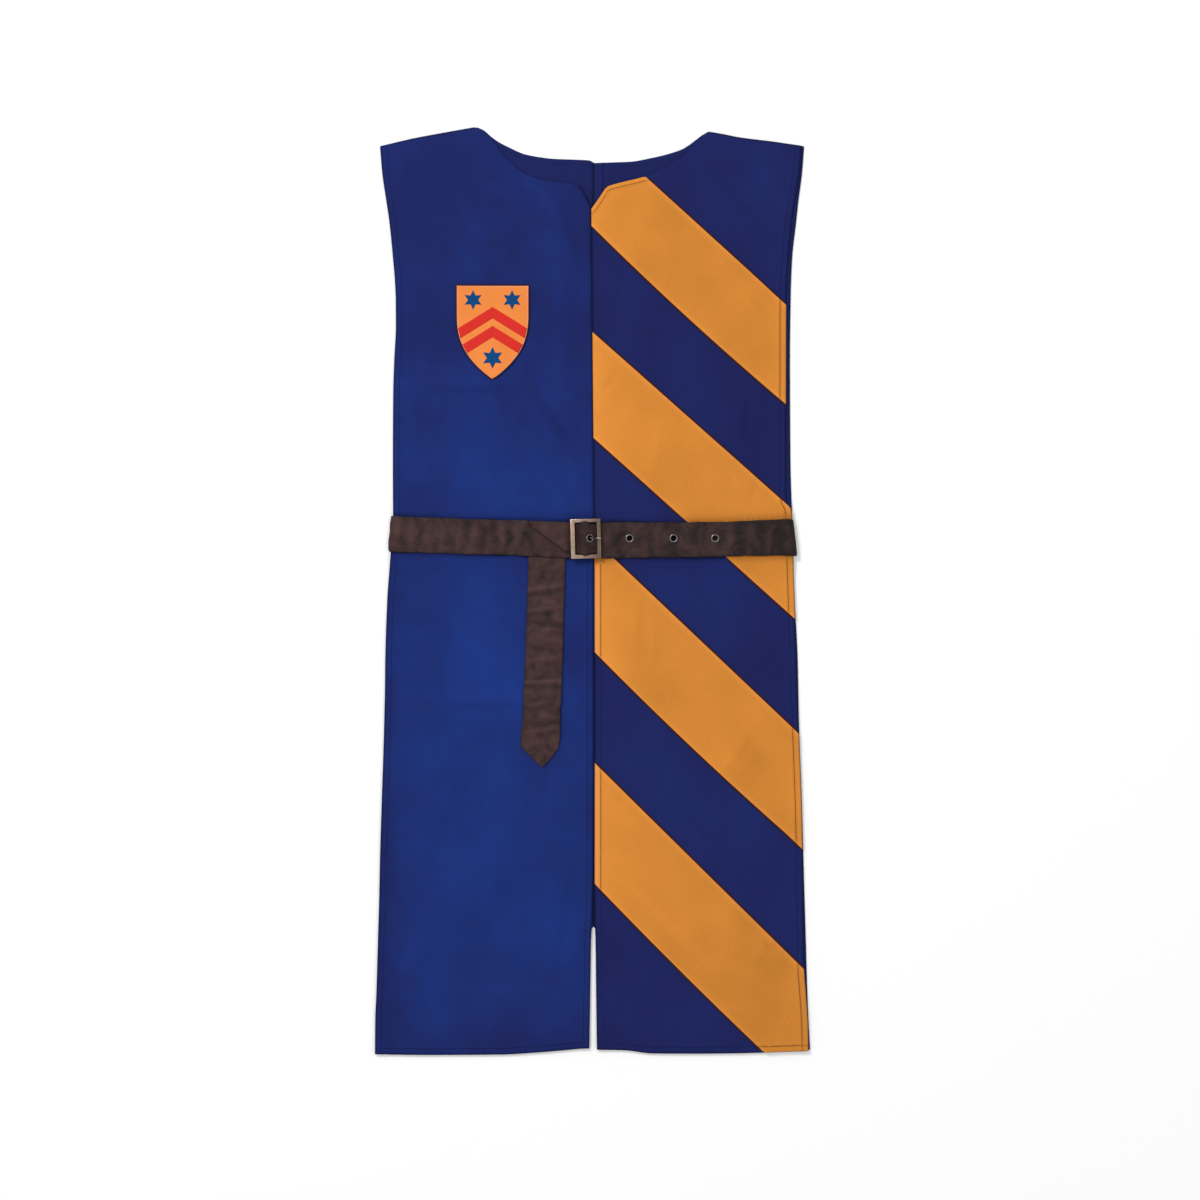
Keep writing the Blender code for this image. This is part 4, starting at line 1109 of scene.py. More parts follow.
def holeEndRoute():  # round the right side, down off the stripe, up over the buckle's bar and onto the knot
    turn = (belt["onStripe"] - belt["onFloor"]) / 2
    stripe, cloth, high = belt["onStripe"], belt["onCloth"], buckle["barZ"]
    route = level(belt["onFloor"], belt["backHalf"])
    route += arcPoints(belt["rightTurnX"], belt["onFloor"] + turn, turn, -90, 90, 12)
    route += level(stripe, 180, 150, 110, 94) + level(cloth, 87, 70, 50, 31)
    route += [(25, stripe), (13, stripe + 0.4), (6, stripe + 1.0), (2.2, stripe + 2.0)]
    route += [(-1.15, high + 0.63), (belt["buckledX"], high + belt["buckledRise"]), (-5.8, high + 3.65)]
    route += [(buckle["x"], high + 4.15), (-9.3, high + 3.75), (-11.6, high + 2.4)]
    route += [(-14.9, belt["onBelt"] + 1.3)]
    return route + level(belt["onBelt"], -16.8, -23.3) + level(belt["onKnot"], -27.2, -34, -48, -61.5)


# Points at even steps on a soft curve through the route, with the length up to each
def evenly(route, step):
    points = [Vector(p) for p in route]
    fine = []
    for k in range(len(points) - 1):
        p0, p1 = points[max(k - 1, 0)], points[k]
        p2, p3 = points[k + 1], points[min(k + 2, len(points) - 1)]
        span = (p2 - p1).length
        before = max((p1 - p0).length, 1e-6)
        after = max((p3 - p2).length, 1e-6)
        m1 = ((p2 - p1) / span + (p1 - p0) / before) * 0.5 * span if k else (p2 - p1)
        m2 = ((p3 - p2) / after + (p2 - p1) / span) * 0.5 * span if k + 2 < len(points) else (p2 - p1)
        count = max(2, int(span / 0.35))
        for i in range(count):
            t = i / count
            h = (2 * t**3 - 3 * t**2 + 1, t**3 - 2 * t**2 + t, -2 * t**3 + 3 * t**2, t**3 - t**2)
            fine.append(p1 * h[0] + m1 * h[1] + p2 * h[2] + m2 * h[3])
    fine.append(points[-1])
    lengths = [0.0]
    for a, b in zip(fine, fine[1:]):
        lengths.append(lengths[-1] + (b - a).length)
    count = max(2, round(lengths[-1] / step))
    found = []
    for k in range(count + 1):
        want = lengths[-1] * k / count
        i = min(max(bisect.bisect_right(lengths, want) - 1, 0), len(fine) - 2)
        share = (want - lengths[i]) / max(lengths[i + 1] - lengths[i], 1e-9)
        found.append((fine[i].lerp(fine[i + 1], min(share, 1.0)), want))
    return found


def normalAt(points, k):  # square to a route of x and height points
    along = (points[min(k + 1, len(points) - 1)] - points[max(k - 1, 0)]).normalized()
    return Vector((-along[1], along[0]))


# Wrinkles across the strap: place along the coat, lean, half width, height, middle and half reach across it
leftWrinkles = (
    (-196, 0.10, 4.0, 0.5, 0.4, 0.7), (-188, -0.15, 3.2, -0.55, 0.6, 0.5),
    (-181, 0.05, 3.4, 0.6, 0.5, 0.8),
    (-172, 0.2, 3.0, -0.5, 0.3, 0.5), (-165, -0.1, 3.8, 0.65, 0.6, 0.6),
    (-157, 0.05, 3.0, -0.5, 0.5, 0.7),
    (-150, 0.15, 3.2, 0.55, 0.45, 0.6), (-141, -0.2, 3.6, -0.55, 0.35, 0.6),
    (-134, 0.1, 3.0, 0.6, 0.6, 0.6),
    (-126, 0.0, 3.4, -0.45, 0.7, 0.4), (-119, 0.2, 3.0, 0.6, 0.4, 0.7), (-111, -0.1, 3.0, -0.6, 0.5, 0.7),
    (-104, 0.1, 3.6, 0.5, 0.3, 0.5), (-97, -0.15, 2.8, -0.5, 0.6, 0.6), (-90, 0.05, 3.4, 0.6, 0.5, 0.8),
    (-83, 0.25, 3.0, -0.55, 0.35, 0.6), (-76, -0.1, 3.2, 0.55, 0.55, 0.7),
    (-69, 0.1, 2.6, -0.4, 0.3, 0.5),
)
rightWrinkles = (
    (14, 0.1, 4.0, 0.35, 0.5, 0.7), (24, -0.2, 3.4, -0.35, 0.4, 0.6), (50, 0.15, 4.0, 0.35, 0.5, 0.7),
    (58, -0.1, 3.2, -0.4, 0.55, 0.6), (66, 0.1, 3.6, 0.3, 0.5, 0.5), (96, -0.15, 3.8, 0.35, 0.4, 0.7),
    (108, 0.2, 3.4, -0.4, 0.6, 0.5), (136, 0.1, 4.2, 0.35, 0.5, 0.6), (147, -0.25, 3.2, -0.45, 0.45, 0.7),
    (158, 0.15, 3.6, 0.4, 0.4, 0.6), (168, -0.1, 3.2, -0.45, 0.6, 0.6), (178, 0.2, 3.6, 0.5, 0.5, 0.7),
    (188, -0.05, 3.0, -0.4, 0.5, 0.7), (196, 0.1, 3.0, 0.4, 0.5, 0.8),
)
tailWrinkles = (
    (22, 0.1, 3.0, 0.35, 0.5, 0.7), (10, -0.15, 2.6, -0.45, 0.4, 0.6), (2, 0.12, 2.2, 0.8, 0.45, 0.75),
    (-4, 0.08, 1.8, -0.8, 0.4, 0.6), (-12, -0.2, 2.4, 0.4, 0.7, 0.4), (-19, 0.15, 2.2, 0.75, 0.4, 0.6),
    (-24, 0.1, 1.8, -0.7, 0.45, 0.5), (-35, -0.1, 2.4, -0.6, 0.55, 0.6), (-41, 0.1, 2.6, 0.55, 0.5, 0.6),
    (-53, 0.25, 3.0, 0.35, 0.6, 0.5), (-60, -0.15, 2.4, -0.5, 0.35, 0.5),
    (-70, 0.1, 2.6, 0.45, 0.55, 0.7),
    (-82, -0.1, 2.6, -0.35, 0.5, 0.6), (-92, 0.05, 2.2, 0.8, 0.5, 0.9), (-97, 0.03, 1.6, -0.9, 0.5, 0.85),
    (-109, 0.15, 2.4, -0.7, 0.4, 0.7), (-114, 0.1, 2.6, 0.55, 0.45, 0.6),
    (-126, -0.1, 2.2, 0.5, 0.6, 0.5),
    (-134, 0.1, 2.2, -0.75, 0.45, 0.75), (-140, 0.1, 2.6, 0.5, 0.5, 0.6),
    (-152, 0.2, 2.6, 0.35, 0.5, 0.6),
)


def wrinkle(rows, place, share):
    total = 0.0
    for middle, tilt, half, height, reachMiddle, reach in rows:
        off = place - middle - tilt * (share - 0.5) * 36
        if abs(off) < 3 * half:
            total += height * bell(off, half) * ease(1 - abs(share - reachMiddle) / reach * 0.75)
    return total


def leanShift(x, y):  # the strap leans with the buckle, within it
    near = ease((34 - abs(x - buckle["x"])) / 14)
    return -(y - buckle["y"]) * math.tan(math.radians(buckle["lean"])) * near


leftTurn = smoothCurve((
    (34, 2.6), (38, 1.0), (42, 0.1), (48, 0.2), (54, 0.9), (58, 1.5), (66, 1.8), (73, 3.0),
))
rightTurn = smoothCurve((
    (33, -0.2), (37, 0.1), (42, -0.4), (50, -1.1), (58, -2.1), (66, -3.0), (71, -3.8),
))


def turnShift(x, y):  # the strap is not quite square to the coat where it goes round the sides
    return ease((-190 - x) / 10) * leftTurn(y) + ease((x - 188) / 10) * rightTurn(y)


strapEdgeShares = (0, 0.008, 0.02, 0.04, 0.075, 0.12)
strapShares = strapEdgeShares + tuple(0.12 + 0.76 * k / 15 for k in range(1, 15)) + (
    0.88, 0.925, 0.96, 0.98, 0.992, 1)


# The strap's tone: painted light on raised wrinkles, painted shade in sunken ones, and random unevenness
def strapTone(base, lift, x, y, uneven=0.35):
    return base + 0.55 * lift + uneven * noiseAt(x / 8, y / 11, 9.3)


def strapFull(share):  # how full the strap's thickness is at this share of its width
    beside = min(share, 1 - share, belt["rim"]) / belt["rim"]
    return 0.25 + 0.75 * math.sqrt(1 - (1 - beside) ** 2)


def rimDark(distance):
    return 0.3 * math.exp(-((distance / 1.2) ** 2))


# Under and over grids of a strap along x, and its tones; edges gives low and high y at each station
def strapSkinGrids(stations, edges, rows, flatNear=()):
    under, over, tones = [], [], []
    points = [point for point, _ in stations]
    isLeft = rows is leftWrinkles
    half = belt["thick"] / 2
    for k, point in enumerate(points):
        ending = ease((point[0] - 125) / 50)  # the right end lies darker and smoother
        base = 0.55 - 0.15 * ease((point[0] + 120) / 20) if isLeft else 0.33 - 0.26 * ending
        nx, nz = normalAt(points, k) * (1.0 if isLeft else -1.0)
        onTop = point[1] > 4
        low, high = edges(point)
        underRow, overRow, toneRow = [], [], []
        for share in strapShares:
            y = blend(low, high, share)
            full = strapFull(share)
            lift = wrinkle(rows, point[0], share) if onTop else 0.0
            lift += 0.14 * noiseAt(point[0] / 5, y / 9, 1.5)
            for flatX, reach in flatNear:
                if onTop:
                    lift *= ease((math.hypot(point[0] - flatX, y - belt["eyeletY"]) - 4.4) / reach)
            lift = max(lift, -0.25) if onTop else 0.0
            wave = 0.5 * noiseAt(point[0] / 14, share * 3, 4.4) * ease(abs(share - 0.5) * 4 - 1)
            x = point[0] + leanShift(point[0], y) + turnShift(point[0], y)
            for row, height in ((underRow, -half * full + lift), (overRow, half * full + lift)):
                row.append((x + nx * height, y + wave, point[1] + nz * height))
            rim = rimDark(min(y - low, high - y))
            toneRow.append(strapTone(base, lift, x, y, 0.35 - 0.2 * ending) - rim)
        under.append(underRow)
        over.append(overRow)
        tones.append(toneRow)
    return under, over, tones


def knotTop(x):
    return belt["knotTopY"] + belt["knotSlope"] * (x - belt["knotX"])


def makeBuckleEnd():
    stations = evenly(buckleEndRoute(), 1.1)

    def edges(point):
        x = point[0]
        low, high = beltLow(x), beltHigh(x)
        near = ease((x + 20) / 4)
        if x > belt["knotLeftX"]:  # the hanging end is folded over this edge
            high = min(high, knotTop(x) + 0.3)
        return blend(low, 36.1, near), blend(high, 66.2, near)

    under, over, tones = strapSkinGrids(stations, edges, leftWrinkles)
    slotHalf = buckle["prongRadius"] + 0.9

    def isOpen(i, j):  # the slot for the prong, where the strap goes round the bar
        x, z = stations[i][0]
        y = (under[i][j][1] + under[i][j + 1][1]) / 2
        return x > -11.6 and z > 6.8 and abs(y - buckle["y"]) < slotHalf

    skin = wallMesh("belt_buckle_side", under, over, isOpen, {"tone": tones})
    return ownPiece(skin, "belt_leather", strapSkin, "belt_buckle_end")


def foldLineY(x):
    (leftX, leftY), (rightX, rightY) = belt["foldLeft"], belt["foldRight"]
    return blend(leftY, rightY, (x - leftX) / (rightX - leftX))


def holeEndEdges(point):
    x, z = point
    low, high = beltLow(x), beltHigh(x)
    if z > 4 and x < 8:  # narrower through the buckle, wider over its bar
        near = ease((4.6 - x) / 2) * ease((x + 18.5) / 2)
        over = ease((z - buckle["barZ"] - 2.6) / 1.0) * ease((x + 20) / 4)
        low, high = blend(low, 36.2, near), blend(high, 66.2, near)
        low, high = blend(low, 34.3, over), blend(high, 68.3, over)
    if x < -17:
        folded = foldLineY(x)
        low = blend(low, max(folded, low), ease((-17 - x) / 3)) if x > -23 else folded
    return low, max(high, low + 0.6)


# The strap rolls over at the slanting fold: steps round the roll, the way it faces, where it starts, and how
# far the painted highlight beside the fold reaches
roll = {"steps": 6, "outX": -0.6, "outY": -0.8, "startX": -24.5, "run": 2.5, "highlightRun": 4, "flatPoints": 5}


def rollOver(stations, under, over, tones):
    curl, half = (belt["onKnot"] - belt["onBelt"]) / 2, belt["thick"] / 2
    # radius of the lower and upper face, and how far each stands off before the roll
    faces = ((curl - half * 0.9, 0.0), (curl + half, 0.12))
    for k, (point, _) in enumerate(stations):
        rolled = ease((roll["startX"] - point[0]) / roll["run"])
        folded = ease((roll["startX"] - point[0]) / roll["highlightRun"])
        startX, startY, startZ = under[k][0]
        middleZ = blend(startZ, point[1], rolled)
        lowPoints, highPoints = [], []
        for step in range(roll["steps"], 0, -1):
            turn = math.pi * step / roll["steps"]
            for points, (radius, spare) in zip((lowPoints, highPoints), faces):
                out = math.sin(turn) * radius * rolled
                x, y = startX + roll["outX"] * out, startY + roll["outY"] * out - 0.02 * step * (1 - rolled)
                z = middleZ + (math.cos(turn) * radius - curl) * rolled + spare * (1 - rolled)
                points.append((x, y, z))
        if rolled > 0:
            for row, height in ((under[k], -half), (over[k], half)):
                for j in range(roll["flatPoints"]):
                    x, y, z = row[j]
                    row[j] = (x, y, blend(z, point[1] + height, rolled))
        # painted highlight round the fold's edge and on the strap beside it
        edgeTones = [blend(0.3, 0.95, folded)] * len(lowPoints)
        tones[k] = edgeTones + [
            tone + folded * (0.25 + 0.45 * math.exp(-j / 5)) for j, tone in enumerate(tones[k])
        ]
        under[k] = lowPoints + under[k]
        over[k] = highPoints + over[k]


def makeHoleEnd():
    stations = evenly(holeEndRoute(), 0.9)
    holeXs = [x for x, _ in openEyelets] + [belt["buckledX"]]
    under, over, tones = strapSkinGrids(stations, holeEndEdges, rightWrinkles, [(x, 3.0) for x in holeXs])
    rollOver(stations, under, over, tones)

    def isOpen(i, j):
        x, z = (stations[i][0] + stations[min(i + 1, len(stations) - 1)][0]) / 2
        y = (under[i][j][1] + under[i][j + 1][1]) / 2
        if z < 4:
            return False
        for holeX in holeXs:
            along = math.cos(math.radians(belt["buckledSlope"])) if holeX == belt["buckledX"] else 1
            if math.hypot((x - holeX) / along, y - belt["eyeletY"]) < belt["holeRadius"]:
                return True
        return False

    skin = wallMesh("belt_hole_side", under, over, isOpen, {"tone": tones})
    return ownPiece(skin, "belt_leather", strapSkin, "belt_hole_end")


# Hanging end: height along the coat, middle x and half width
tailRows = (
    (-176.4, -50.7, 0.7), (-175.0, -50.8, 2.6), (-172.5, -51.0, 5.4),
    (-170.0, -51.3, 7.8), (-166.6, -51.8, 10.9),
    (-163.0, -52.2, 14.0), (-160.0, -52.6, 16.5), (-157.5, -52.9, 18.3), (-154.0, -52.7, 19.0),
    (-148.0, -52.4, 19.2), (-117, -51.0, 19.0), (-75, -49.4, 18.9), (-30, -48.0, 18.8), (14, -46.6, 18.8),
    (30, -46.3, 18.5), (68.9, -45.8, 18.2), (75, -45.8, 18.2),
)
tailMiddle = smoothCurve([(y, middle) for y, middle, _ in tailRows])
tailHalf = smoothCurve([(y, half) for y, _, half in tailRows])


def tailRoute():  # y and height: over the fold, down behind the strap and along the front
    turn = (belt["onBelt"] - belt["onCloth"]) / 2
    top = belt["knotTopY"]
    route = [(top - off, belt["onBelt"]) for off in (26, 12, 3)]
    route += arcPoints(top, belt["onCloth"] + turn, turn, 90, -90, 10)
    route += [(y, belt["onCloth"]) for y in (60, 45, 30)]
    for y in range(20, -178, -8):
        acrossXs = [tailMiddle(y) + share * tailHalf(y) for share in (-1, -0.5, 0, 0.5, 1)]
        highest = max(frontLayers(leftPanel, x, y)[1] for x in acrossXs)
        route.append((y, highest + coat["lie"] + belt["thick"] / 2))
    return route + [(belt["tailEndY"], route[-1][1])]


def makeTail():
    stations = evenly(tailRoute(), 1.1)
    points = [point for point, _ in stations]
    halfThick = belt["thick"] / 2
    under, over, tones = [], [], []
    for k, (point, length) in enumerate(stations):
        normal = normalAt(points, k)
        place, z = point
        middle, half = tailMiddle(place), tailHalf(place)
        onFront = length > 62
        underRow, overRow, toneRow = [], [], []
        for share in strapShares:
            x = middle + (2 * share - 1) * half
            lean = belt["knotSlope"] * (x - belt["knotX"]) * ease((place - 30) / 30)
            full = strapFull(share)
            if place < -160:  # thinner at the cut point
                full = min(full, 0.3 + 0.7 * ease((place + 177.4) / 1.2))
            lift, wave = 0.0, 0.0
            if onFront:
                lift = wrinkle(tailWrinkles, place, share) * ease((26 - place) / 10)
                lift += 0.12 * noiseAt(x / 8, place / 5, 7.5)
                lift = max(lift * ease((place + 176) / 12), -0.3)
                wave = 0.55 * noiseAt(place / 13, share * 2, 2.7) * ease(abs(share - 0.5) * 4 - 1)
            for row, height in ((underRow, halfThick * full - lift), (overRow, -halfThick * full - lift)):
                y = place + normal[0] * height
                if length < 24 and z > belt["onTail"]:  # the tucked end stops at the fold
                    y = max(y, min(foldLineY(x) + 1.2, belt["knotTopY"] - 1.5))
                row.append((x + wave, y + lean, z + normal[1] * height))
            rim = rimDark(min(share, 1 - share) * 2 * half)
            toneRow.append(strapTone(0.58, lift, x, place * 1.6) - rim)
        under.append(underRow)
        over.append(overRow)
        tones.append(toneRow)
    skin = wallMesh("belt_hanging_end", under, over, marks={"tone": tones})
    return ownPiece(skin, "belt_leather", strapSkin, "belt_tail")


# The run behind the coat lies flat on the table, with shallow creases on its lower face
def makeBackRun():
    count = 200
    under, over, tones = [], [], []
    far, half = belt["backHalf"], belt["thick"] / 2
    ends = far - belt["gap"]
    for k in range(count + 1):
        x = blend(-ends, ends, k / count)
        low = blend(beltLow(-far), beltLow(far), k / count)
        high = blend(beltHigh(-far), beltHigh(far), k / count)
        underRow, overRow, toneRow = [], [], []
        for share in strapShares:
            y = blend(low, high, share)
            full = strapFull(share)
            dent = 0.28 * max(0.0, noiseAt(x / 6, y / 26, 3.9))
            toneRow.append(strapTone(0.5, -dent, x, y))
            underRow.append((x, y, half * (1 - full) + dent))
            overRow.append((x, y, half * (1 + full)))
        under.append(underRow)
        over.append(overRow)
        tones.append(toneRow)
    skin = wallMesh("belt_back_run", under, over, marks={"tone": tones})
    return ownPiece(skin, "belt_leather", strapSkin, "belt_back")


makeBackRun()
makeBuckleEnd()
makeHoleEnd()
makeTail()
print("belt made")

# Buckle, prong and eyelets


def chooseOnly(piece):
    bpy.ops.object.select_all(action="DESELECT")
    bpy.context.view_layer.objects.active = piece
    piece.select_set(True)


def editOn(piece):
    chooseOnly(piece)
    bpy.ops.object.mode_set(mode="EDIT")


def editOff():
    bpy.ops.object.mode_set(mode="OBJECT")


# Select the edges or faces that pass a test on their middle, in edit mode
def pick(piece, kind, wanted):
    bpy.ops.mesh.select_mode(type=kind)
    bpy.ops.mesh.select_all(action="DESELECT")
    shape = bmesh.from_edit_mesh(piece.data)
    for item in shape.edges if kind == "EDGE" else shape.faces:
        if kind == "EDGE":
            middle = (item.verts[0].co + item.verts[1].co) / 2
        else:
            middle = item.calc_center_median()
        if wanted(middle / mm, item):
            item.select = True
    shape.select_flush_mode()
    bmesh.update_edit_mesh(piece.data)


def newestPiece(name):
    piece = bpy.context.object
    piece.name = piece.data.name = name
    return piece


def applyPlace(piece, matrix):
    piece.data.transform(matrix)
    piece.matrix_world = Matrix.Identity(4)


def makeBuckle():
    halfWidth, halfHeight, thick = buckle["halfWidth"], buckle["halfHeight"], buckle["thick"]
    innerXs = (-halfWidth + buckle["leftBar"], halfWidth - buckle["rightBar"])
    innerYs = (-halfHeight + buckle["bottomBar"], halfHeight - buckle["topBar"])
    bpy.ops.mesh.primitive_plane_add(size=2 * mm, location=(0, 0, 0))
    piece = newestPiece("buckle")
    editOn(piece)
    bpy.ops.transform.resize(value=(halfWidth, halfHeight, 1))
    bpy.ops.mesh.inset(thickness=4.0 * mm)
    shape = bmesh.from_edit_mesh(piece.data)
    for vert in shape.verts:  # the inner corners go to the bars' own widths
        if abs(vert.co.x) < (halfWidth - 1) * mm:
            vert.co.x = innerXs[vert.co.x > 0] * mm
            vert.co.y = innerYs[vert.co.y > 0] * mm
    bmesh.update_edit_mesh(piece.data)
    pick(piece, "FACE", lambda middle, face: abs(middle.x) < 4 and abs(middle.y) < 6)
    bpy.ops.mesh.delete(type="FACE")
    bpy.ops.mesh.select_all(action="SELECT")
    bpy.ops.mesh.extrude_region_move(TRANSFORM_OT_translate={"value": (0, 0, thick * mm)})
    bpy.ops.mesh.select_all(action="SELECT")
    bpy.ops.mesh.normals_make_consistent(inside=False)

    def isTopRim(middle, edge):
        if middle.z <= thick - 0.1 or len(edge.link_faces) != 2:
            return False
        first, second = edge.link_faces
        return abs(first.normal.dot(second.normal)) < 0.5

    def isOuterCorner(middle, edge):
        return abs(edge.verts[0].co.z - edge.verts[1].co.z) > 0.6 * mm and abs(middle.x) > 14

    pick(piece, "EDGE", isTopRim)
    bpy.ops.mesh.bevel(offset=1.05 * mm, segments=4, profile=0.55)
    pick(piece, "EDGE", isOuterCorner)
    bpy.ops.mesh.bevel(offset=0.9 * mm, segments=3)
    bpy.ops.mesh.select_all(action="SELECT")
    bpy.ops.mesh.subdivide(number_cuts=1)
    editOff()
    bpy.ops.object.select_all(action="DESELECT")
    low, high = innerYs[0] - 1.5, innerYs[1] + 1.5
    bpy.ops.mesh.primitive_cylinder_add(
        vertices=16, radius=buckle["barRadius"] * mm, depth=(high - low) * mm,
        location=(0, (low + high) / 2 * mm, (buckle["barZ"] - buckle["under"]) * mm),
        rotation=(math.pi / 2, 0, 0),
    )
    bar = bpy.context.object
    bpy.ops.object.transform_apply(location=True, rotation=True, scale=True)
    join = piece.modifiers.new("bar", "BOOLEAN")
    join.operation, join.solver, join.object = "UNION", "EXACT", bar
    chooseOnly(piece)
    bpy.ops.object.modifier_apply(modifier="bar")
    bpy.data.objects.remove(bar)
    bpy.ops.object.shade_smooth_by_angle(angle=math.radians(35))
    place = Matrix.Translation((buckle["x"] * mm, buckle["y"] * mm, buckle["under"] * mm))
    applyPlace(piece, place @ Matrix.Rotation(math.radians(buckle["lean"]), 4, "Z"))
    return ownPiece(piece, "buckle_metal", agedBrass, "buckle_frame")


def makeProng():
    radius, sides = buckle["prongRadius"], buckle["prongSides"]
    reach = buckle["barRadius"] + belt["gap"] + radius
    # round the bar, then over to the right
    route = arcPoints(buckle["x"], buckle["barZ"], reach, 100, 360, 14)
    route += [(-5.1, 11.0), (-4.6, 12.3), (-3.4, 13.6), (-1.6, 14.5), (1.2, 14.4), (4.6, 13.2)]
    route += [(8.2, 12.25)]
    points = [point for point, _ in evenly(route, 0.6)]
    bpy.ops.mesh.primitive_circle_add(
        vertices=sides, radius=radius * mm, fill_type="NGON", location=(0, 0, 0))
    piece = newestPiece("prong")
    editOn(piece)
    bpy.ops.mesh.select_all(action="SELECT")
    for _ in points[1:]:
        bpy.ops.mesh.extrude_region_move(TRANSFORM_OT_translate={"value": (0, 0, 0.3 * mm)})
    editOff()
    for k, point in enumerate(points):  # the extruded rings are laid along the route
        normal = normalAt(points, k)
        left = len(points) - 1 - k
        thin = radius * (0.62 + 0.38 * ease(left / 5)) * (1.0 if left else 0.6)
        for vert in piece.data.vertices[k * sides:(k + 1) * sides]:
            turn = math.atan2(vert.co.y, vert.co.x)
            x = point[0] + normal[0] * thin * math.cos(turn)
            z = point[1] + normal[1] * thin * math.cos(turn)
            vert.co = Vector((x, belt["eyeletY"] + thin * math.sin(turn), z)) * mm
    editOn(piece)
    bpy.ops.mesh.select_all(action="SELECT")
    bpy.ops.mesh.normals_make_consistent(inside=False)
    editOff()
    bpy.ops.object.shade_smooth()
    return ownPiece(piece, "eyelet_metal", prongSteel, "buckle_prong")


ring = {"bore": 2.75, "outer": 4.2, "height": 0.5, "barrel": 1.5}


def makeEyelet(number, x, z, slope):
    middle, half = (ring["bore"] + ring["outer"]) / 2, (ring["outer"] - ring["bore"]) / 2
    bpy.ops.mesh.primitive_torus_add(
        major_segments=28, minor_segments=10, major_radius=middle * mm, minor_radius=half * mm,
        location=(0, 0, 0))
    piece = newestPiece(f"eyelet_ring_{number}")
    editOn(piece)
    bpy.ops.mesh.select_all(action="SELECT")
    bpy.ops.transform.resize(value=(1, 1, ring["height"] / half))
    pick(piece, "FACE", lambda point, face: point.z < -0.12 and math.hypot(point.x, point.y) < middle)
    bpy.ops.transform.translate(value=(0, 0, -ring["barrel"] * mm))  # drawn down into the barrel
    bpy.ops.transform.resize(value=(0.93, 0.93, 1))
    editOff()
    bpy.ops.object.shade_smooth()
    seat = belt["thick"] / 2 + coat["lie"] + ring["height"] * 0.4
    place = Matrix.Translation((x * mm, belt["eyeletY"] * mm, z * mm))
    place = place @ Matrix.Rotation(math.radians(slope), 4, "Y")
    applyPlace(piece, place @ Matrix.Translation((0, 0, seat * mm)))
    return ownPiece(piece, "eyelet_metal", nickel, f"eyelet_{number}")


makeBuckle()
makeProng()
for number, (x, z) in enumerate(openEyelets, start=1):
    makeEyelet(number, x, z, 0)
makeEyelet(4, belt["buckledX"], buckle["barZ"] + belt["buckledRise"], belt["buckledSlope"])
print("buckle and eyelets made")

# Stitching

stitch = {"length": 2.6, "pitch": 3.3, "width": 0.5, "height": 0.3}
edging = {"length": 2.2, "pitch": 1.45, "width": 1.1, "height": 0.5, "outside": 0.75, "turn": 58.0}
tipShare = 1.22  # a thread's rounded tips reach this far past its body


def oneStitch():  # a short rounded thread, read once as points and faces
    bpy.ops.mesh.primitive_cylinder_add(
        vertices=6, radius=1, depth=2, location=(0, 0, 0), rotation=(0, math.pi / 2, 0))
    piece = bpy.context.object
    bpy.ops.object.transform_apply(location=True, rotation=True, scale=True)
    editOn(piece)
    pick(piece, "FACE", lambda middle, face: abs(face.normal.x) > 0.9)
    bpy.ops.mesh.inset(thickness=0.45)
    bpy.ops.transform.resize(value=(tipShare, 1, 1))
    editOff()
    points = [tuple(vert.co) for vert in piece.data.vertices]
    faces = [tuple(face.vertices) for face in piece.data.polygons]
    bpy.data.objects.remove(piece)
    return points, faces


stitchPoints, stitchFaces = oneStitch()


def walk(lines, pitch):  # spots at even steps along lines: x, y and direction
    spots = []
    for line in lines:
        carry = 0.0
        for (x, y), (nextX, nextY) in zip(line, line[1:]):
            length = math.hypot(nextX - x, nextY - y)
            if length < 1e-6:
                continue
            turn = math.atan2(nextY - y, nextX - x)
            t = pitch - carry
            while t <= length:
                spots.append((blend(x, nextX, t / length), blend(y, nextY, t / length), turn))
                t += pitch
            carry = (carry + length) % pitch
    return spots


def sew(name, spots, heightAt, material, slotName, size=stitch):
    verts, faces = [], []
    half = size["length"] / 2
    for x, y, turn in spots:
        dx, dy = math.cos(turn), math.sin(turn)
        z = heightAt(x, y)
        ahead, behind = heightAt(x + dx * half, y + dy * half), heightAt(x - dx * half, y - dy * half)
        rise = (ahead - behind) / size["length"]
        base = len(verts)
        for px, py, pz in stitchPoints:
            along, across = px * half / tipShare, py * size["width"] / 2
            up = rise * along + pz * size["height"] / 2
            verts.append((x + dx * along - dy * across, y + dy * along + dx * across, z + up))
        faces += [tuple(base + v for v in face) for face in stitchFaces]
    mesh = meshOf(name, verts, faces)
    mesh.shade_smooth()
    return ownPiece(linked(name, mesh), slotName, material)


def sewLines(name, lines, heightAt, material, slotName):
    return sew(name, walk(lines, stitch["pitch"]), heightAt, material, slotName)


def span(start, end, step=4.0):
    count = max(1, int(abs(end - start) / step))
    return [blend(start, end, k / count) for k in range(count + 1)]


# Lines of topstitching one stitch width inside the edges of a panel: side, hem, centre and neck
def borderLines(panel, centreTo, neckFrom, neckShort):
    inwards, off = -panel["away"], coat["stitchIn"]

    def sideX(y):
        return panel["side"](y) + inwards * off

    def centreX(y):
        return panel["centre"](y) - inwards * off

    neck = []
    for x in span(panel["neckX"] - panel["away"] * 3, panel["centre"](390) - inwards * neckShort, 1.5):
        y = panel["top"](x) - off / coat["neckHem"] * panel["stretch"](x)
        if y > neckFrom:
            neck.append((x, y))
    return [
        [(sideX(y), y) for y in span(-455, 438)],
        [(x, panel["hem"](x) + off) for x in span(sideX(-460), centreX(-460))],
        [(centreX(y), y) for y in span(-452, centreTo)],
        neck,
    ]


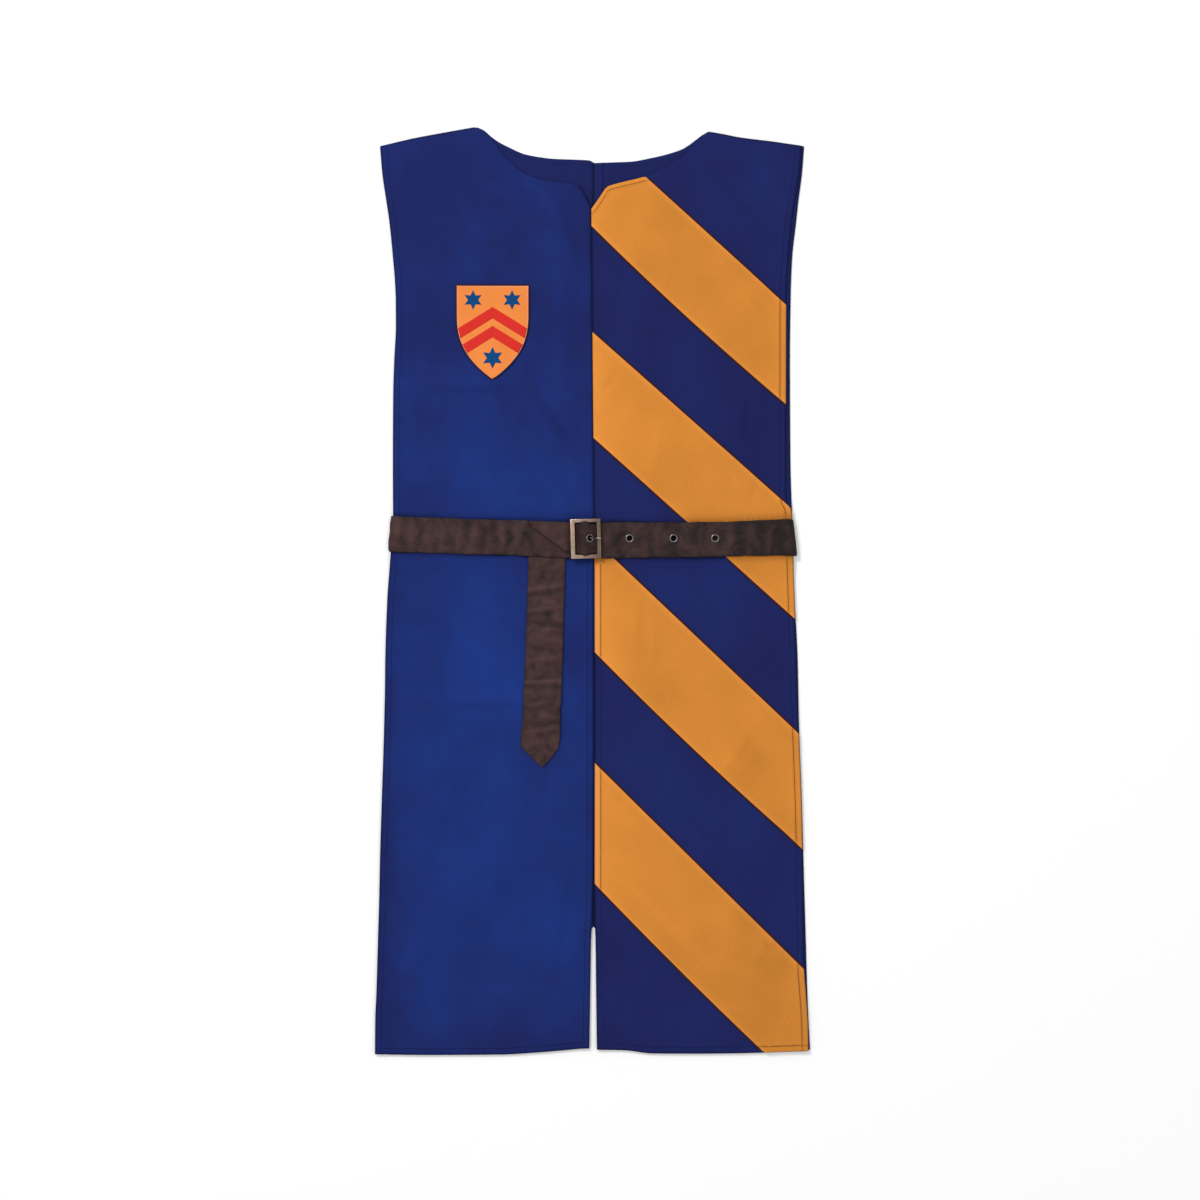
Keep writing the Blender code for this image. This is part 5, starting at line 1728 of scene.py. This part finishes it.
def inStripe(x, y):
    for name in stripes:
        found = stripeRise(name, x, y)
        if found and found[1] > 0.3:
            return name
    return None


def runsWhere(points, wanted):  # the stretches of a line whose points all pass a test
    runs = [[]]
    for point in points:
        if wanted(point):
            runs[-1].append(point)
        elif runs[-1]:
            runs.append([])
    return runs


def cutByStripes(lines, wantInside):
    runs = []
    for line in lines:
        points = []
        for (x, y), (nextX, nextY) in zip(line, line[1:]):
            count = max(1, int(math.hypot(nextX - x, nextY - y)))
            points += [(blend(x, nextX, k / count), blend(y, nextY, k / count)) for k in range(count)]
        runs += runsWhere(points, lambda point: bool(inStripe(*point)) == wantInside)
    return [run for run in runs if len(run) > 3]


def awayFromBelt(lines):
    low, high = coat["beltLowY"] + 2, coat["beltHighY"] - 3
    runs = []
    for line in lines:
        runs += runsWhere(line, lambda point: not low < point[1] < high)
    return [run for run in runs if len(run) > 1]


def stripeSurface(x, y):
    name = inStripe(x, y) or min(stripes, key=lambda key: abs(upperEdge(key, x) - y - 50))
    return stripeLayers(name, x, y)[1]


# Lines beside both edges of each stripe, that far inside them
def alongStripes(off, margin):
    lines = []
    for name in stripes:
        for edge, sign in ((upperEdge, -1), (lowerEdge, 1)):
            line = []
            for x in span(2 + margin, 214, 2.0):
                y = edge(name, x) + sign * off * leanOf(name)
                near = distances(rightPanel, x, y)
                inside = x < rightPanel["side"](y) - margin
                if inside and min(near["side"], near["hem"], near["top"]) > margin:
                    line.append((x, y))
            lines.append(line)
    return awayFromBelt(lines)


def surfaceOf(layers, panel, rise):
    return lambda x, y: layers(panel, x, y)[1] + rise


def onStripe(rise):
    return lambda x, y: stripeSurface(x, y) + rise


def turned(spots, degrees):
    return [(x, y, turn + math.radians(degrees)) for x, y, turn in spots]


leftLines = awayFromBelt(borderLines(leftPanel, 28, 388, 1.0))
rightLines = awayFromBelt(borderLines(rightPanel, 28, 372, 1.0))
onBlue, onStripes = cutByStripes(rightLines, False), cutByStripes(rightLines, True)
besideStripes = alongStripes(stripeEdge["stitchIn"], 2.0)
onLeft, onRight = surfaceOf(frontLayers, leftPanel, 0.05), surfaceOf(frontLayers, rightPanel, 0.05)
sewLines("stitches_front_left", leftLines, onLeft, navyThread, "blue_cloth")
sewLines("stitches_front_right", onBlue, onRight, navyThread, "blue_cloth")
sewLines("stitches_on_stripes", onStripes, onStripe(0.08), brownThread, "yellow_cloth")
sewLines("stitches_along_stripes", besideStripes, onStripe(0.02), yellowThread, "yellow_cloth")
# Dark whip stitches just outside the stripes' edges, which also stand for the painted shadow that the raised
# edges cast on the blue
edgingSpots = turned(walk(alongStripes(-edging["outside"], 1.0), edging["pitch"]), edging["turn"])
edgingAt = surfaceOf(frontLayers, rightPanel, 0.3)
sew("edging_and_shadow_of_stripes", edgingSpots, edgingAt, edgingAndShadowThread, "yellow_cloth", edging)
for key in ("back_left", "back_right"):  # the back is stitched on its lower face, and round the neck inside
    panel = panels[key]
    lines = awayFromBelt(borderLines(panel, -330, 372, 0.5))
    sewLines("stitches_" + key, lines, lambda x, y: beltLift(y) + 0.36, navyThread, "blue_cloth")
    inside = surfaceOf(backLayers, panel, 0.05)
    sewLines("stitches_neck_" + key, lines[-1:], inside, navyThread, "blue_cloth")


# The pressed seam allowance inside the back, seen in the neck opening
def makeSeamStrip():
    panel = panels["back_right"]
    steps = 30
    under, over, tones, shades = [], [], [], []
    for x in (0.7, 1.2, 2.5, 4.5, 6.5, 8.5, 9.6, 10.1):
        low, high = rightPanel["top"](x) - 14, panel["top"](x) - 0.8
        thick = 0.12 + (0.22 if 1 < x < 9.8 else 0)
        underRow, overRow = [], []
        for k in range(steps + 1):
            y = blend(low, high, k / steps)
            base = max(backLayers(panel, x, y)[1], coat["cloth"]) + 0.05
            underRow.append((x, y, base))
            overRow.append((x, y, base + thick))
        under.append(underRow)
        over.append(overRow)
        tones.append([0.35] * (steps + 1))
        # painted shade along both edges of the strip
        shades.append([0.55 if x < 1.3 or x > 9 else 1.0] * (steps + 1))
    strip = wallMesh("seam_strip", under, over, marks={"tone": tones, "shade": shades})
    return ownPiece(strip, "blue_cloth", blueBack)


makeSeamStrip()
print("stitching made")

# Table, light and camera

view = {"frame": 1.2, "lens": 85.0, "sensor": 36.0, "x": 0.007, "y": -0.010, "clothZ": 0.004, "clipEnd": 50}
studio = {
    "key": {"place": (-1.6, 1.9, 2.2), "size": 1.0, "power": 58},
    "fill": {"place": (1.8, -1.2, 2.6), "size": 2.2, "power": 14},
    "world": 0.62, "tableSize": 12, "tableZ": -0.0002, "tableGlow": 0.06,
}


def makeTable():
    bpy.ops.mesh.primitive_plane_add(size=studio["tableSize"], location=(0, 0, studio["tableZ"]))
    table = bpy.context.object
    table.name = "table"
    material, _, _ = newMaterial("tableTop", grey(0.96), 0.9, {
        "Specular IOR Level": 0.1, "Emission Color": (1, 1, 1, 1), "Emission Strength": studio["tableGlow"],
    })
    table.data.materials.append(material)


def areaLight(name):  # a round lamp that faces the middle of the coat
    row = studio[name]
    data = bpy.data.lights.new(name, "AREA")
    data.shape, data.size, data.energy = "DISK", row["size"], row["power"]
    lamp = linked(name, data)
    lamp.location = row["place"]
    lamp.rotation_euler = (-Vector(row["place"])).to_track_quat("-Z", "Y").to_euler()


def makeWorld():
    world = bpy.data.worlds.new("world")
    world.use_nodes = True
    background = world.node_tree.nodes["Background"]
    background.inputs["Color"].default_value = (1, 1, 1, 1)
    background.inputs["Strength"].default_value = studio["world"]
    bpy.context.scene.world = world


def makeCamera():  # straight above, so that a millimetre is a pixel of the 1200 x 1200 photograph
    data = bpy.data.cameras.new("camera")
    data.lens, data.sensor_width, data.sensor_fit = view["lens"], view["sensor"], "HORIZONTAL"
    data.clip_end = view["clipEnd"]
    camera = linked("camera", data)
    distance = view["frame"] * view["lens"] / view["sensor"]
    camera.location = (view["x"], view["y"], view["clothZ"] + distance)
    bpy.context.scene.camera = camera


makeTable()
areaLight("key")
areaLight("fill")
makeWorld()
bpy.context.scene.view_settings.view_transform = "Standard"
makeCamera()
print("table, light and camera ready")
